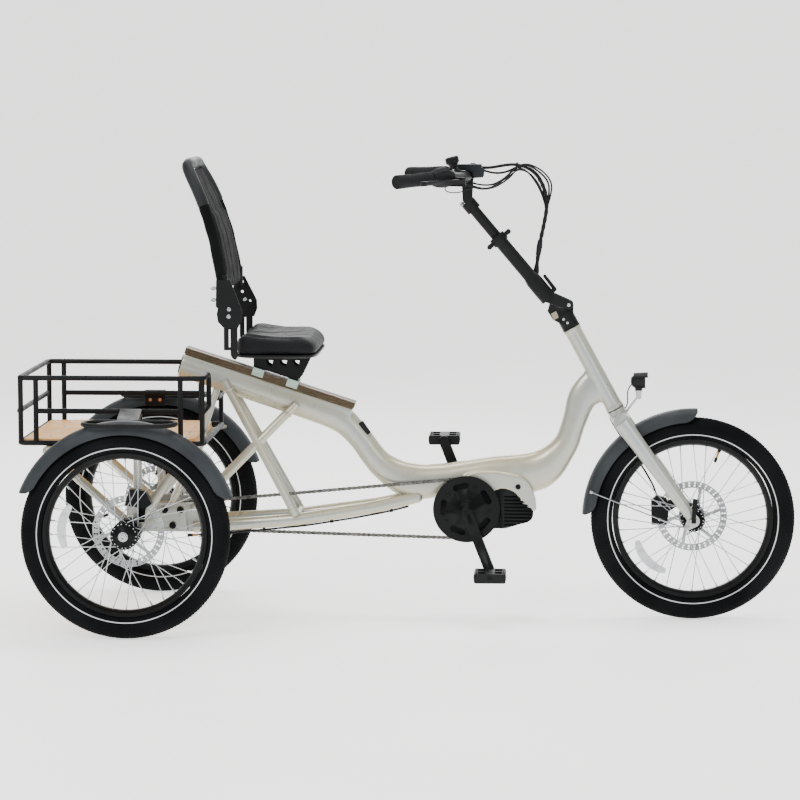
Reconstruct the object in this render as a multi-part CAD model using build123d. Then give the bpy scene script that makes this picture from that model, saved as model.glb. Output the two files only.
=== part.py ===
from build123d import *
import math
import os

os.makedirs("parts", exist_ok=True)

# Adult cargo tricycle with two rear wheels, a mid motor and a reclining seat.
# Millimetres. While it is modelled, X = 0 is the rear axle, +X is forward, +Y is the
# rider's left and Z = 0 is the ground. At the end everything moves along X, so that the
# origin is at the middle of the whole vehicle, on the ground.

# ---------------------------------------------------------------- driving dimensions
WHEELBASE = 1409.0
HALF_TRACK = 350.0
RUN_GAP = 0.05          # radial clearance of a shaft that turns in its hole
SEAT_GAP = 0.3          # clearance between pieces that lie on each other

# wheels
TYRE_R = 260.0
TYRE_WIDTH = 61.0
BEAD_R = 204.0
RIM_INNER_R = 188.5
RIM_WIDTH = 33.0
SPOKE_R = 1.1
SPOKES_PER_SIDE = 18
ROTOR_R = 90.0
ROTOR_T = 2.0
ROTOR_BORE_R = 22.0
FRONT_ROTOR_Y = 38.0
REAR_ROTOR_INSET = 54.0
FRONT_FLANGE_R = 30.0
REAR_FLANGE_R = 34.0
FRONT_FLANGE_Y = (-34.0, 24.0)
REAR_FLANGE_SPREAD = 24.0
FRONT_AXLE_R = 5.0
HALF_SHAFT_R = 10.0
HUB_NUT_R = 12.0
HUB_END = 45.0          # from the wheel's middle plane to the end of the axle nut

# main frame
RAIL_SLOPE = 18.0
RAIL_REAR = (115.0, 695.0)
RAIL_LENGTH = 455.0
RAIL_WIDTH = 60.0
RAIL_DEPTH = 16.0
HEAD_BOTTOM = (1210.0, 540.0)
HEAD_ANGLE = 61.4
HEAD_LENGTH = 236.0
HEAD_TUBE_R = 23.0
STEERER_R = 14.3
STAY_R = 15.5
STRUT_R = 11.0
BATTERY_R = 23.0
BATTERY_LENGTH = 330.0

# rear carrier, deck and basket
CARRIER_Y = 222.0
CARRIER_WIDTH = 24.0
CARRIER_TUBE_R = 11.0
BEARING_R = 22.0
DIFF_R = 36.0
DIFF_HALF = 54.0
PLATE_Y = 62.0
PLATE_T = 8.0
DECK_TOP = 480.0
DECK_T = 16.5
DECK_REAR_X = -272.0
DECK_FRONT_X = 155.0
DECK_HALF_WIDTH = 212.0
BASKET_REAR_X = -282.0
BASKET_FRONT_X = 180.0
BASKET_HALF_WIDTH = 223.0
BASKET_TOP = 634.0
BASKET_BOTTOM = 470.5
BASKET_MID = 551.0
BASKET_TUBE_R = 6.5
BASKET_POST_INSET = 42.0
FRONT_GATE_HALF = 96.0
GRIP_RING_Z = 534.0
GRIP_RING_R = 5.5
FENDER_R = 283.0
FENDER_HALF = 36.0
FENDER_LIP = 31.0
FENDER_T = 2.5
FRONT_FENDER_R = 282.0

# drive
CRANK_X = 832.5
CRANK_Z = 287.0
CRANK_LENGTH = 170.0
CRANK_ANGLE = -68.5
ARM_Y = 76.0
ARM_T = 13.0
CHAIN_PITCH = 12.7
CHAIN_Y = -44.0
CHAIN_WIDTH = 8.0
CHAINRING_TEETH = 38
SPROCKET_TEETH = 13
TOOTH_T = 2.4
GUARD_R = 85.0
PEDAL_LENGTH = 80.0
PEDAL_WIDTH = 92.0
PEDAL_AXLE_R = 4.5
MOTOR_HALF = 44.0

# fork and steering
FORK_Y = 54.0
DROPOUT_INNER = 50.0
DROPOUT_T = 8.0
CROWN = (1226.0, 511.0)
CROWN_R = 22.0

# handlepost and handlebar
TILT_PIVOT = (1090.0, 806.0)
POST_FOOT = (1040.0, 820.0)
POST_ANGLE = 130.2      # direction of the post from +X towards +Z
POST_LOWER_R = 17.0
POST_UPPER_R = 13.5
POST_LOWER_LENGTH = 209.0
POST_UPPER_LENGTH = 242.0
POST_INSERT = 130.0
BAR_R = 11.1
BAR_X = 832.0
BAR_Z = 1131.0
GRIP_R = 16.0
GRIP_LENGTH = 124.0
THROTTLE_LENGTH = 60.0

# seat
SEAT_HALF = 195.0
CUSHION_REAR_X = 250.0
CUSHION_FRONT_X = 474.0
CUSHION_BOTTOM = 690.0
CUSHION_TOP = 742.0
RECLINE_PIVOT = (252.0, 776.0)
BACK_TUBE_R = 11.0


# ---------------------------------------------------------------- helpers
def rod(start, end, radius):
    """Round bar from one point to another."""
    run = Vector(*end) - Vector(*start)
    place = Plane(origin=start, z_dir=run)
    return place * Cylinder(radius, run.length, align=(Align.CENTER, Align.CENTER, Align.MIN))


def pin_y(x, z, y_low, y_high, radius):
    """Round bar along Y."""
    return rod((x, y_low, z), (x, y_high, z), radius)


def ring_y(x, z, y_low, y_high, radius, bore):
    """Ring whose axis is along Y."""
    return pin_y(x, z, y_low, y_high, radius) - pin_y(x, z, y_low - 1, y_high + 1, bore)


def bent_rod(points, bend, radius, close=False):
    """Round bar along straight runs joined by arcs."""
    path = FilletPolyline(*points, radius=bend, close=close)
    section = Plane(origin=path @ 0, z_dir=path % 0) * Circle(radius)
    return sweep(section, path=path)


def slab_y(points, y_low, y_high):
    """Flat outline of (x, z) points, thick along Y."""
    outline = make_face(Polyline(*[(x, y_low, z) for x, z in points], close=True))
    return extrude(outline, amount=y_high - y_low, dir=(0, 1, 0))


def block(low, high):
    """Rectangular block between two corners."""
    size = [b - a for a, b in zip(low, high)]
    middle = [(a + b) / 2 for a, b in zip(low, high)]
    return Pos(*middle) * Box(*size)


def tangent_quad(first, second):
    """Corners of the band that joins two (x, z, radius) discs by their outer tangents."""
    x1, z1, r1 = first
    x2, z2, r2 = second
    span = math.hypot(x2 - x1, z2 - z1)
    along = math.atan2(z2 - z1, x2 - x1)
    lean = math.acos((r1 - r2) / span)
    corners = []
    for x, z, r, side in ((x1, z1, r1, 1), (x2, z2, r2, 1), (x2, z2, r2, -1), (x1, z1, r1, -1)):
        angle = along + side * lean
        corners.append((x + r * math.cos(angle), z + r * math.sin(angle)))
    return corners


def hull_y(discs, y_low, y_high):
    """Smooth outline round a row of (x, z, radius) discs, thick along Y."""
    body = pin_y(discs[0][0], discs[0][1], y_low, y_high, discs[0][2])
    for first, second in zip(discs, discs[1:]):
        body = body + pin_y(second[0], second[1], y_low, y_high, second[2])
        body = body + slab_y(tangent_quad(first, second), y_low, y_high)
    return body


def mirrored(shape):
    """The same shape on the other side of the vehicle."""
    return mirror(shape, about=Plane.XZ)


def both_sides(shape):
    """The shape and its mirror image, as separate solids."""
    return [shape, mirrored(shape)]


def solids_of(items):
    """All solids of a list of shapes, in one list."""
    found = []
    for item in items:
        found.extend(item.solids())
    return found


def along(start, angle, distance, offset=0.0):
    """Point at a distance along a direction in the XZ plane, and an offset to its left."""
    a = math.radians(angle)
    x = start[0] + distance * math.cos(a) - offset * math.sin(a)
    z = start[1] + distance * math.sin(a) + offset * math.cos(a)
    return (x, z)


def xyz(point, y=0.0):
    """A point of the XZ plane, moved to a height along Y."""
    return (point[0], y, point[1])


# ---------------------------------------------------------------- wheels
def tyre():
    """Tyre round the Y axis, cut flat where it sits on the rim."""
    half = TYRE_WIDTH / 2
    section = Pos(TYRE_R - half, 0) * Circle(half)
    section = section - Pos(BEAD_R / 2, 0) * Rectangle(BEAD_R, TYRE_WIDTH)
    return revolve(Plane.XY * section, axis=Axis.Y)


def rim():
    """Rim with a channel that is open towards the tyre."""
    seat = BEAD_R - SEAT_GAP
    half = RIM_WIDTH / 2
    outer = Polygon((seat, -half), (seat, half), (seat - 9, half - 1), (RIM_INNER_R, half - 8),
                    (RIM_INNER_R, 8 - half), (seat - 9, 1 - half), align=None)
    channel = Pos(seat, 0) * Rectangle(16, RIM_WIDTH - 6)
    return revolve(Plane.XY * (outer - channel), axis=Axis.Y)


def spokes(flange_r, flange_low, flange_high):
    """Crossed spokes from two hub flanges to the rim, as separate solids."""
    bars = []
    step = 360 / SPOKES_PER_SIDE
    for side, flange_y in ((0, flange_low), (1, flange_high)):
        toe = -3 if side == 0 else 3
        for k in range(SPOKES_PER_SIDE):
            lead = 1 if k % 2 == 0 else -1
            rim_angle = math.radians(step * k + side * step / 2)
            hub_angle = rim_angle - lead * math.radians(2.9 * step)
            hub_r = flange_r - 4
            rim_r = RIM_INNER_R + 1.5
            lift = lead * 3.4
            start = (hub_r * math.cos(hub_angle), flange_y + lift, hub_r * math.sin(hub_angle))
            end = (rim_r * math.cos(rim_angle), toe + lift * 0.3, rim_r * math.sin(rim_angle))
            bars.append(rod(start, end, SPOKE_R))
    return bars


def rotor():
    """Brake disc round the Y axis, centred on Y = 0."""
    ring = Circle(ROTOR_R) - Circle(ROTOR_R - 17)
    for ring_r, count, hole in ((ROTOR_R - 5, 36, 2.4), (ROTOR_R - 11.5, 36, 2.6)):
        ring = ring - PolarLocations(ring_r, count, start_angle=hole * 2) * Circle(hole)
    hub = Circle(ROTOR_BORE_R + 12) - Circle(ROTOR_BORE_R)
    arms = PolarLocations(0, 6) * (Pos(ROTOR_R / 2 + 8, 9) * Rot(0, 0, 22) * Rectangle(50, 8))
    flat = ring + hub + arms
    disc = extrude(Plane.XZ * flat, amount=ROTOR_T / 2, both=True)
    return disc


def front_hub():
    """Front hub shell on its two bearings, with its two spoke flanges."""
    low, high = FRONT_FLANGE_Y
    end = DROPOUT_INNER - SEAT_GAP
    shell = pin_y(0, 0, -end, end, 9) + pin_y(0, 0, low - 6, FRONT_ROTOR_Y - 2, 15)
    for flange_y in FRONT_FLANGE_Y:
        shell = shell + pin_y(0, 0, flange_y - 5, flange_y + 5, FRONT_FLANGE_R)
    boss_end = FRONT_ROTOR_Y + ROTOR_T / 2 + 2
    shell = shell + pin_y(0, 0, high, boss_end, ROTOR_BORE_R - SEAT_GAP)
    return shell - pin_y(0, 0, -end - 1, end + 1, FRONT_AXLE_R + RUN_GAP)


def rear_hub():
    """Rear hub and half shaft of the left wheel, at its place along Y."""
    inner = HALF_TRACK - REAR_ROTOR_INSET - ROTOR_T / 2 - 2
    outer = HALF_TRACK + REAR_FLANGE_SPREAD + 5
    shell = pin_y(0, 0, inner, outer, ROTOR_BORE_R - SEAT_GAP)
    for flange_y in (HALF_TRACK - REAR_FLANGE_SPREAD, HALF_TRACK + REAR_FLANGE_SPREAD):
        shell = shell + pin_y(0, 0, flange_y - 5, flange_y + 5, REAR_FLANGE_R)
    shaft = pin_y(0, 0, 10, HALF_TRACK + HUB_END - 4, HALF_SHAFT_R)
    nut_low = (0, outer, 0)
    nut = Plane(origin=nut_low, z_dir=(0, 1, 0)) * extrude(
        RegularPolygon(HUB_NUT_R, 6), amount=HALF_TRACK + HUB_END - outer)
    return shell + shaft + nut


# ---------------------------------------------------------------- main frame
HEAD_TOP = along(HEAD_BOTTOM, 180 - HEAD_ANGLE, HEAD_LENGTH)
HEAD_FOOT_JOINT = along(HEAD_BOTTOM, 180 - HEAD_ANGLE, 76.0)

# centre line of the big tube: x, z, slope, half height, half width
SPINE = (
    (*along(RAIL_REAR, -RAIL_SLOPE, 0, -RAIL_DEPTH - 31), -RAIL_SLOPE, 33, 30),
    (*along(RAIL_REAR, -RAIL_SLOPE, 210, -RAIL_DEPTH - 32), -RAIL_SLOPE, 34, 30),
    (*along(RAIL_REAR, -RAIL_SLOPE, 345, -RAIL_DEPTH - 33), -RAIL_SLOPE, 35, 30),
    (508, 510, -28, 35, 30),
    (558, 462, -52, 30, 29),
    (614, 392, -42, 33, 31),
    (690, 351, -14, 47, 34),
    (775, 354, 1, 43, 35),
    (895, 372, 5, 44, 35),
    (1010, 377, 30, 53, 34),
    (1079, 440, 61, 33, 30),
    (1105, 505, 69, 31, 27),
    (*HEAD_FOOT_JOINT, 90 - HEAD_ANGLE, 58, 19),
)


def spine_section(x, z, slope, half_height, half_width):
    """One oval cross-section of the big tube."""
    a = math.radians(slope)
    place = Plane(origin=(x, 0, z), x_dir=(0, 1, 0), z_dir=(math.cos(a), 0, math.sin(a)))
    return place * Ellipse(half_width, half_height)


MOTOR_DISCS = ((CRANK_X, CRANK_Z, 58), (CRANK_X + 92, CRANK_Z - 1, 50), (CRANK_X + 148, CRANK_Z - 14, 22))


def motor_outline(grow, half_low, half_high):
    """The motor's side outline, grown by a clearance."""
    discs = [(x, z, r + grow) for x, z, r in MOTOR_DISCS]
    return hull_y(discs, half_low, half_high)


def rail_plane(distance, drop=0.0):
    """Plane across the seat rail: its x is the vehicle's Y and its y is up from the rail."""
    a = math.radians(RAIL_SLOPE)
    start = along(RAIL_REAR, -RAIL_SLOPE, distance, -drop)
    return Plane(origin=xyz(start), x_dir=(0, 1, 0), z_dir=(math.cos(a), 0, -math.sin(a)))


def rail_block(distance, length, width, drop_top, drop_bottom, side=0.0):
    """Block that lies along the seat rail, its top and bottom measured down from the rail's top."""
    face = Pos(side, -(drop_top + drop_bottom) / 2) * Rectangle(width, drop_bottom - drop_top)
    return extrude(rail_plane(distance) * face, amount=length)


def smooth_rows(rows, steps):
    """Rows in between, so that each column runs smoothly through the given rows."""
    made = []
    for k in range(len(rows) - 1):
        before = rows[max(k - 1, 0)]
        after = rows[min(k + 2, len(rows) - 1)]
        for step in range(steps):
            t = step / steps
            row = []
            for a, b, c, d in zip(before, rows[k], rows[k + 1], after):
                bend = (2 * b + (c - a) * t + (2 * a - 5 * b + 4 * c - d) * t ** 2)
                row.append((bend + (3 * b - a - 3 * c + d) * t ** 3) / 2)
            made.append(row)
    made.append(rows[-1])
    return made


def big_tube():
    """Oval tube along the spine, in many short straight-sided lengths."""
    sections = [spine_section(*row) for row in smooth_rows(SPINE, 3)]
    return loft(sections, ruled=True)


def main_frame():
    """Big swept tube, seat rail saddle, motor cradle and head tube, welded together."""
    saddle = rail_block(2, RAIL_LENGTH - 4, RAIL_WIDTH - 6, RAIL_DEPTH, RAIL_DEPTH + 26)
    top = xyz(HEAD_TOP)
    bottom = xyz(HEAD_BOTTOM)
    head = rod(bottom, top, HEAD_TUBE_R)
    cradle = slab_y([(CRANK_X + 86, 350), (CRANK_X + 86, 392), (CRANK_X + 158, 372),
                     (CRANK_X + 176, 283), (CRANK_X + 160, 283), (CRANK_X + 138, 342)],
                    -MOTOR_HALF - 4, MOTOR_HALF + 4)
    frame = big_tube() + saddle + head + cradle
    bore_low = xyz(along(HEAD_BOTTOM, 180 - HEAD_ANGLE, -2))
    bore_high = xyz(along(HEAD_BOTTOM, 180 - HEAD_ANGLE, HEAD_LENGTH + 2))
    frame = frame - rod(bore_low, bore_high, STEERER_R + RUN_GAP)
    cavity_low = xyz(along(HEAD_BOTTOM, 180 - HEAD_ANGLE, 14))
    cavity_high = xyz(along(HEAD_BOTTOM, 180 - HEAD_ANGLE, HEAD_LENGTH - 14))
    frame = frame - rod(cavity_low, cavity_high, STEERER_R + 3)
    frame = frame - motor_outline(SEAT_GAP, -80, 80)
    frame = frame - rail_block(-5, RAIL_LENGTH + 10, RAIL_WIDTH + 1, -2, RAIL_DEPTH)
    return frame - battery_bay()


def battery_bay():
    """Round bore in the rear of the big tube, for the battery."""
    low = xyz(along(RAIL_REAR, -RAIL_SLOPE, -5, -RAIL_DEPTH - 32))
    high = xyz(along(RAIL_REAR, -RAIL_SLOPE, BATTERY_LENGTH + 2, -RAIL_DEPTH - 32))
    return rod(low, high, BATTERY_R + SEAT_GAP)


def battery_pack():
    """Round battery that slides into the open rear end of the big tube, with its end cap."""
    low = xyz(along(RAIL_REAR, -RAIL_SLOPE, 1, -RAIL_DEPTH - 32))
    high = xyz(along(RAIL_REAR, -RAIL_SLOPE, BATTERY_LENGTH, -RAIL_DEPTH - 32))
    return rod(low, high, BATTERY_R)


def seat_rail():
    """Extruded rail with a slot along its top and two grooves along each side."""
    profile = Pos(0, -RAIL_DEPTH / 2) * Rectangle(RAIL_WIDTH, RAIL_DEPTH)
    profile = profile - Pos(0, -2.5) * Rectangle(9, 5)
    profile = profile - Pos(0, -6.5) * Rectangle(18, 5)
    for side in (-1, 1):
        for drop in (5.0, 11.0):
            profile = profile - Pos(side * RAIL_WIDTH / 2, -drop) * Rectangle(5, 2.4)
    return extrude(rail_plane(0) * profile, amount=RAIL_LENGTH)


STRUT_TOP_Y = 32.0
STRUT_BOTTOM_Y = 66.0
CARRIER_BOLTS = ((64, 284), (104, 284), (84, 244))


def rear_frame():
    """Twin chain stays, crossed struts and end plates, welded together on each side."""
    half = []
    stay = ((135, PLATE_Y + 3, 238), (400, 57, 257), (600, 32, 288), (705, 20, 312))
    for start, end in zip(stay, stay[1:]):
        half.append(rod(start, end, STAY_R))
        half.append(Pos(*end) * Sphere(STAY_R))
    half.append(rod((133, STRUT_BOTTOM_Y, 283), (398, STRUT_TOP_Y + 2, 552), STRUT_R))
    half.append(rod((399, STRUT_BOTTOM_Y, 268), (213, STRUT_TOP_Y, 610), STRUT_R))
    plate = slab_y([(-36, 226), (-36, 296), (40, 304), (152, 300), (158, 226)], PLATE_Y, PLATE_Y + PLATE_T)
    side = half[0]
    for piece in half[1:]:
        side = side + piece
    side = side + plate
    side = side - pin_y(0, 260, PLATE_Y - 1, PLATE_Y + PLATE_T + 1, BEARING_R + 8)
    for x, z in CARRIER_BOLTS:
        side = side - pin_y(x, z, PLATE_Y - 1, PLATE_Y + PLATE_T + 1, 5)
    bridge = pin_y(398, 268, -STRUT_BOTTOM_Y + 6, STRUT_BOTTOM_Y - 6, 9)
    upper_bridge = pin_y(303, 449, -46, 46, 8)
    return side + mirrored(side) + bridge + upper_bridge - battery_bay()


DECK_BOTTOM = DECK_TOP - DECK_T
CROSS_TUBE_Z = DECK_BOTTOM - SEAT_GAP - CARRIER_TUBE_R
REAR_CROSS_X = -212.0
FRONT_CROSS_X = 146.0
DECK_STAY_R = 9.0
DECK_STAY_FOOT = (FRONT_CROSS_X, 0, CROSS_TUBE_Z)
DECK_STAY_TOP = (191, 0, 588)


def carrier_side():
    """One side of the axle carrier: bearing housing, axle tube, uprights and fender stays."""
    low = CARRIER_Y
    high = CARRIER_Y + CARRIER_WIDTH
    middle = CARRIER_Y + CARRIER_WIDTH / 2
    side = pin_y(0, 260, low, high, BEARING_R + 8)
    side = side + pin_y(0, 260, PLATE_Y + PLATE_T, low + 1, BEARING_R - 3)
    side = side + pin_y(0, 260, PLATE_Y + PLATE_T, PLATE_Y + 2 * PLATE_T, BEARING_R + 8)
    side = side + rod((-16, middle, 278), (REAR_CROSS_X, middle, CROSS_TUBE_Z), CARRIER_TUBE_R)
    side = side + rod((16, middle, 278), (FRONT_CROSS_X, middle, CROSS_TUBE_Z), CARRIER_TUBE_R)
    side = side + rod((16, middle, 282), (16, middle, CROSS_TUBE_Z), CARRIER_TUBE_R)
    side = side + rod((REAR_CROSS_X, middle, CROSS_TUBE_Z), (FRONT_CROSS_X, middle, CROSS_TUBE_Z), CARRIER_TUBE_R)
    fender_side = HALF_TRACK - FENDER_HALF
    reach = 178.0
    side = side + rod((REAR_CROSS_X, middle, CROSS_TUBE_Z), (-reach, fender_side, CROSS_TUBE_Z), 5)
    side = side + rod((FRONT_CROSS_X, middle, CROSS_TUBE_Z), (reach, fender_side, CROSS_TUBE_Z), 5)
    plate = slab_y([(-34, 228), (-34, 296), (40, 302), (116, 300), (120, 228)],
                   PLATE_Y + PLATE_T, PLATE_Y + 2 * PLATE_T)
    side = side + plate
    side = side + rod((84, PLATE_Y + 1.5 * PLATE_T, 304), (FRONT_CROSS_X, 110, CROSS_TUBE_Z), DECK_STAY_R)
    side = side - pin_y(0, 260, PLATE_Y, high + 1, HALF_SHAFT_R + 2)
    for start in (low + 4, PLATE_Y + PLATE_T):
        side = side - pin_y(0, 260, start, start + 22, BEARING_R)
    for x, z in CARRIER_BOLTS:
        side = side - pin_y(x, z, PLATE_Y, PLATE_Y + 2 * PLATE_T + 1, 5)
    return side


def axle_carrier():
    """Axle carrier with deck cross tubes, its four bearings and its bolts."""
    side = carrier_side()
    middle = CARRIER_Y + CARRIER_WIDTH / 2
    frame = side + mirrored(side)
    for x in (REAR_CROSS_X, FRONT_CROSS_X):
        frame = frame + pin_y(x, CROSS_TUBE_Z, -middle, middle, CARRIER_TUBE_R)
    frame = frame + rod(DECK_STAY_FOOT, DECK_STAY_TOP, DECK_STAY_R)
    pieces = [frame]
    for start in (CARRIER_Y + 4.2, PLATE_Y + PLATE_T + 0.2):
        bearing = ring_y(0, 260, start, start + 17, BEARING_R - 0.05, HALF_SHAFT_R + RUN_GAP)
        pieces.extend(both_sides(bearing))
    for x, z in CARRIER_BOLTS:
        shank = pin_y(x, z, PLATE_Y - 4, PLATE_Y + 2 * PLATE_T, 4.9)
        head_low = PLATE_Y + 2 * PLATE_T
        head = pin_y(x, z, head_low, head_low + 7, 9) + pin_y(x, z, PLATE_Y - 5, PLATE_Y, 8)
        pieces.extend(both_sides(shank + head))
    return pieces


def deck_board():
    """Cargo board with two cut front corners and a notch for the deck's stay."""
    cut = 26.0
    outline = Polyline((DECK_REAR_X, -DECK_HALF_WIDTH), (DECK_FRONT_X - cut, -DECK_HALF_WIDTH),
                       (DECK_FRONT_X, cut - DECK_HALF_WIDTH), (DECK_FRONT_X, DECK_HALF_WIDTH - cut),
                       (DECK_FRONT_X - cut, DECK_HALF_WIDTH), (DECK_REAR_X, DECK_HALF_WIDTH), close=True)
    board = Pos(0, 0, DECK_BOTTOM) * extrude(make_face(outline), amount=DECK_T)
    return board - rod(DECK_STAY_FOOT, DECK_STAY_TOP, DECK_STAY_R + 1)


def basket():
    """Welded tube basket, open at the middle of its front side for the big tube."""
    half = BASKET_HALF_WIDTH
    front = BASKET_FRONT_X
    rear = BASKET_REAR_X
    gate = FRONT_GATE_HALF
    top = [(front, -gate, BASKET_MID), (front, -gate, BASKET_TOP), (front, -half, BASKET_TOP),
           (rear, -half, BASKET_TOP), (rear, half, BASKET_TOP), (front, half, BASKET_TOP),
           (front, gate, BASKET_TOP), (front, gate, BASKET_MID)]
    cage = bent_rod(top, 18, BASKET_TUBE_R)
    bottom = [(front, -half, BASKET_BOTTOM), (rear, -half, BASKET_BOTTOM),
              (rear, half, BASKET_BOTTOM), (front, half, BASKET_BOTTOM)]
    cage = cage + bent_rod(bottom, 18, BASKET_TUBE_R, close=True)
    post_low = BASKET_BOTTOM
    inset = BASKET_POST_INSET
    for side in (-half, half):
        for x in (rear + inset, front - inset - 15):
            cage = cage + rod((x, side, post_low), (x, side, BASKET_TOP), BASKET_TUBE_R)
        cage = cage + rod((rear + inset, side, BASKET_MID), (front - inset - 15, side, BASKET_MID), BASKET_TUBE_R)
        for x in (rear + 3, front - 3):
            inner = side - math.copysign(3, side)
            cage = cage + rod((x, inner, post_low), (x, inner, BASKET_TOP), BASKET_TUBE_R)
        gate_y = math.copysign(gate, side)
        cage = cage + rod((front, side - math.copysign(3, side), BASKET_MID), (front, gate_y, BASKET_MID), BASKET_TUBE_R)
    cage = cage + rod((rear, 4 - half, BASKET_MID), (rear, half - 4, BASKET_MID), BASKET_TUBE_R)
    return cage


def side_grips():
    """Rounded ring above each rear fender, on a plate from the basket's middle rail."""
    ring_inner = HALF_TRACK - FENDER_HALF - 10
    ring_outer = HALF_TRACK + FENDER_HALF + 12
    corners = [(-102, ring_inner, GRIP_RING_Z), (126, ring_inner, GRIP_RING_Z),
               (126, ring_outer, GRIP_RING_Z), (-102, ring_outer, GRIP_RING_Z)]
    ring = bent_rod(corners, 44, GRIP_RING_R, close=True)
    rail_y = BASKET_HALF_WIDTH + BASKET_TUBE_R + SEAT_GAP
    plate_points = [(rail_y, BASKET_MID + 7), (rail_y, BASKET_MID - 7), (ring_inner - 2, GRIP_RING_Z - 3),
                    (ring_inner + 3, GRIP_RING_Z + 3), (rail_y + 9, BASKET_MID + 7)]
    outline = make_face(Polyline(*[(-26, y, z) for y, z in plate_points], close=True))
    plate = extrude(outline, amount=54, dir=(1, 0, 0))
    return both_sides(ring + plate)


def fender(outer_r, start_angle, end_angle, lip):
    """Arched guard round the Y axis between two angles, with side walls."""
    half = FENDER_HALF
    wall = FENDER_T
    outer = Polygon((outer_r - lip, -half), (outer_r - 11, -half), (outer_r, 11 - half), (outer_r, half - 11),
                    (outer_r - 11, half), (outer_r - lip, half), align=None)
    inner = Polygon((outer_r - lip - 1, wall - half), (outer_r - 11.5, wall - half), (outer_r - wall, 12 - half),
                    (outer_r - wall, half - 12), (outer_r - 11.5, half - wall),
                    (outer_r - lip - 1, half - wall), align=None)
    arch = revolve(Plane.XY * (outer - inner), axis=Axis.Y, revolution_arc=end_angle - start_angle)
    return arch.rotate(Axis.Y, -end_angle)


# ---------------------------------------------------------------- drive
def pitch_radius(teeth):
    """Radius of the circle through the chain's rollers."""
    return CHAIN_PITCH / 2 / math.sin(math.pi / teeth)


def toothed_disc(teeth, thickness):
    """Toothed disc round the Y axis, centred on Y = 0."""
    outer = pitch_radius(teeth) + 2.9
    gap_r = 3.9
    flat = Circle(outer) - PolarLocations(pitch_radius(teeth), teeth) * Circle(gap_r)
    return extrude(Plane.XZ * flat, amount=thickness / 2, both=True)


CHAIN_DISCS = ((CRANK_X, CRANK_Z, pitch_radius(CHAINRING_TEETH)), (0, 260, pitch_radius(SPROCKET_TEETH)))


def chain_loop(grow, half):
    """Closed outline round both sprockets, grown outwards, centred on the chain line."""
    discs = [(x, z, r + grow) for x, z, r in CHAIN_DISCS]
    return hull_y(discs, CHAIN_Y - half, CHAIN_Y + half)


def chain():
    """Chain as one closed loop with a slot along its inner side for the teeth."""
    loop = chain_loop(4.6, CHAIN_WIDTH / 2) - chain_loop(-4.4, CHAIN_WIDTH)
    return loop - chain_loop(3.3, TOOTH_T / 2 + 0.5)


def motor_unit():
    """Mid motor: gear housing round the crank axle and a finned stator housing in front."""
    narrow = motor_outline(0, -36, MOTOR_HALF) & block((CRANK_X - 80, -60, 100), (CRANK_X + 85, 60, 500))
    wide = motor_outline(0, -MOTOR_HALF, MOTOR_HALF) & block((CRANK_X + 84, -60, 100), (CRANK_X + 300, 60, 500))
    body = narrow + wide
    for z in range(244, 322, 9):
        for side in (-1, 1):
            low = MOTOR_HALF - 3 if side > 0 else -MOTOR_HALF - 1
            body = body - block((CRANK_X + 96, low, z), (CRANK_X + 190, low + 4, z + 4))
    body = body + pin_y(CRANK_X, CRANK_Z, -39, -30, 27) + pin_y(CRANK_X, CRANK_Z, 40, 60, 27)
    return body - pin_y(CRANK_X, CRANK_Z, -100, 100, 9 + RUN_GAP)


def crankset():
    """Crank spindle, both arms and the pedal axles."""
    spindle = pin_y(CRANK_X, CRANK_Z, -ARM_Y - ARM_T - 2, ARM_Y + ARM_T + 2, 9)
    body = spindle
    for side, angle in ((-1, CRANK_ANGLE), (1, CRANK_ANGLE + 180)):
        tip = along((CRANK_X, CRANK_Z), angle, CRANK_LENGTH)
        waist = along((CRANK_X, CRANK_Z), angle, 60)
        low, high = sorted((side * ARM_Y, side * (ARM_Y + ARM_T)))
        body = body + hull_y([(CRANK_X, CRANK_Z, 19), (*waist, 13), (*tip, 13)], low, high)
        axle_low, axle_high = sorted((side * ARM_Y, side * (ARM_Y + ARM_T + 10 + PEDAL_WIDTH)))
        body = body + pin_y(tip[0], tip[1], axle_low, axle_high, PEDAL_AXLE_R)
    return body


def chainring():
    """Chain ring with its spider, and the slotted guard disc outside it."""
    ring = Pos(CRANK_X, CHAIN_Y, CRANK_Z) * toothed_disc(CHAINRING_TEETH, TOOTH_T)
    ring = ring - pin_y(CRANK_X, CRANK_Z, -60, -30, 9.2)
    guard = pin_y(CRANK_X, CRANK_Z, -60, -57, GUARD_R)
    for k in range(5):
        slot = along((CRANK_X, CRANK_Z), 72 * k + 20, 60)
        tail = along((CRANK_X, CRANK_Z), 72 * k + 44, 60)
        guard = guard - hull_y([(*slot, 8), (*tail, 8)], -61, -56)
    guard = guard - pin_y(CRANK_X, CRANK_Z, -61, -56, 9.2)
    spacer = ring_y(CRANK_X, CRANK_Z, -58, CHAIN_Y, 38, 9.2)
    collar = ring_y(CRANK_X, CRANK_Z, -ARM_Y + SEAT_GAP, -59, 24, 9.2)
    return ring + spacer + guard + collar


def pedal(side):
    """Flat pedal with its reflectors' frames, on the axle of one crank arm."""
    angle = CRANK_ANGLE if side < 0 else CRANK_ANGLE + 180
    x, z = along((CRANK_X, CRANK_Z), angle, CRANK_LENGTH)
    inner = side * (ARM_Y + ARM_T + 6)
    outer = side * (ARM_Y + ARM_T + 6 + PEDAL_WIDTH)
    low, high = sorted((inner, outer))
    half = PEDAL_LENGTH / 2
    body = block((x - half, low, z - 12), (x + half, high, z + 12))
    body = fillet(body.edges().filter_by(Axis.Y), 5)
    span = (high - low - 24) / 2
    for k in (0, 1):
        start = low + 8 + k * (span + 8)
        for edge in (-1, 1):
            near, far = sorted((x + edge * 12, x + edge * (half - 9)))
            body = body - block((near, start, z - 20), (far, start + span, z + 20))
    return body - pin_y(x, z, low - 1, high + 1, PEDAL_AXLE_R + RUN_GAP)


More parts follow.
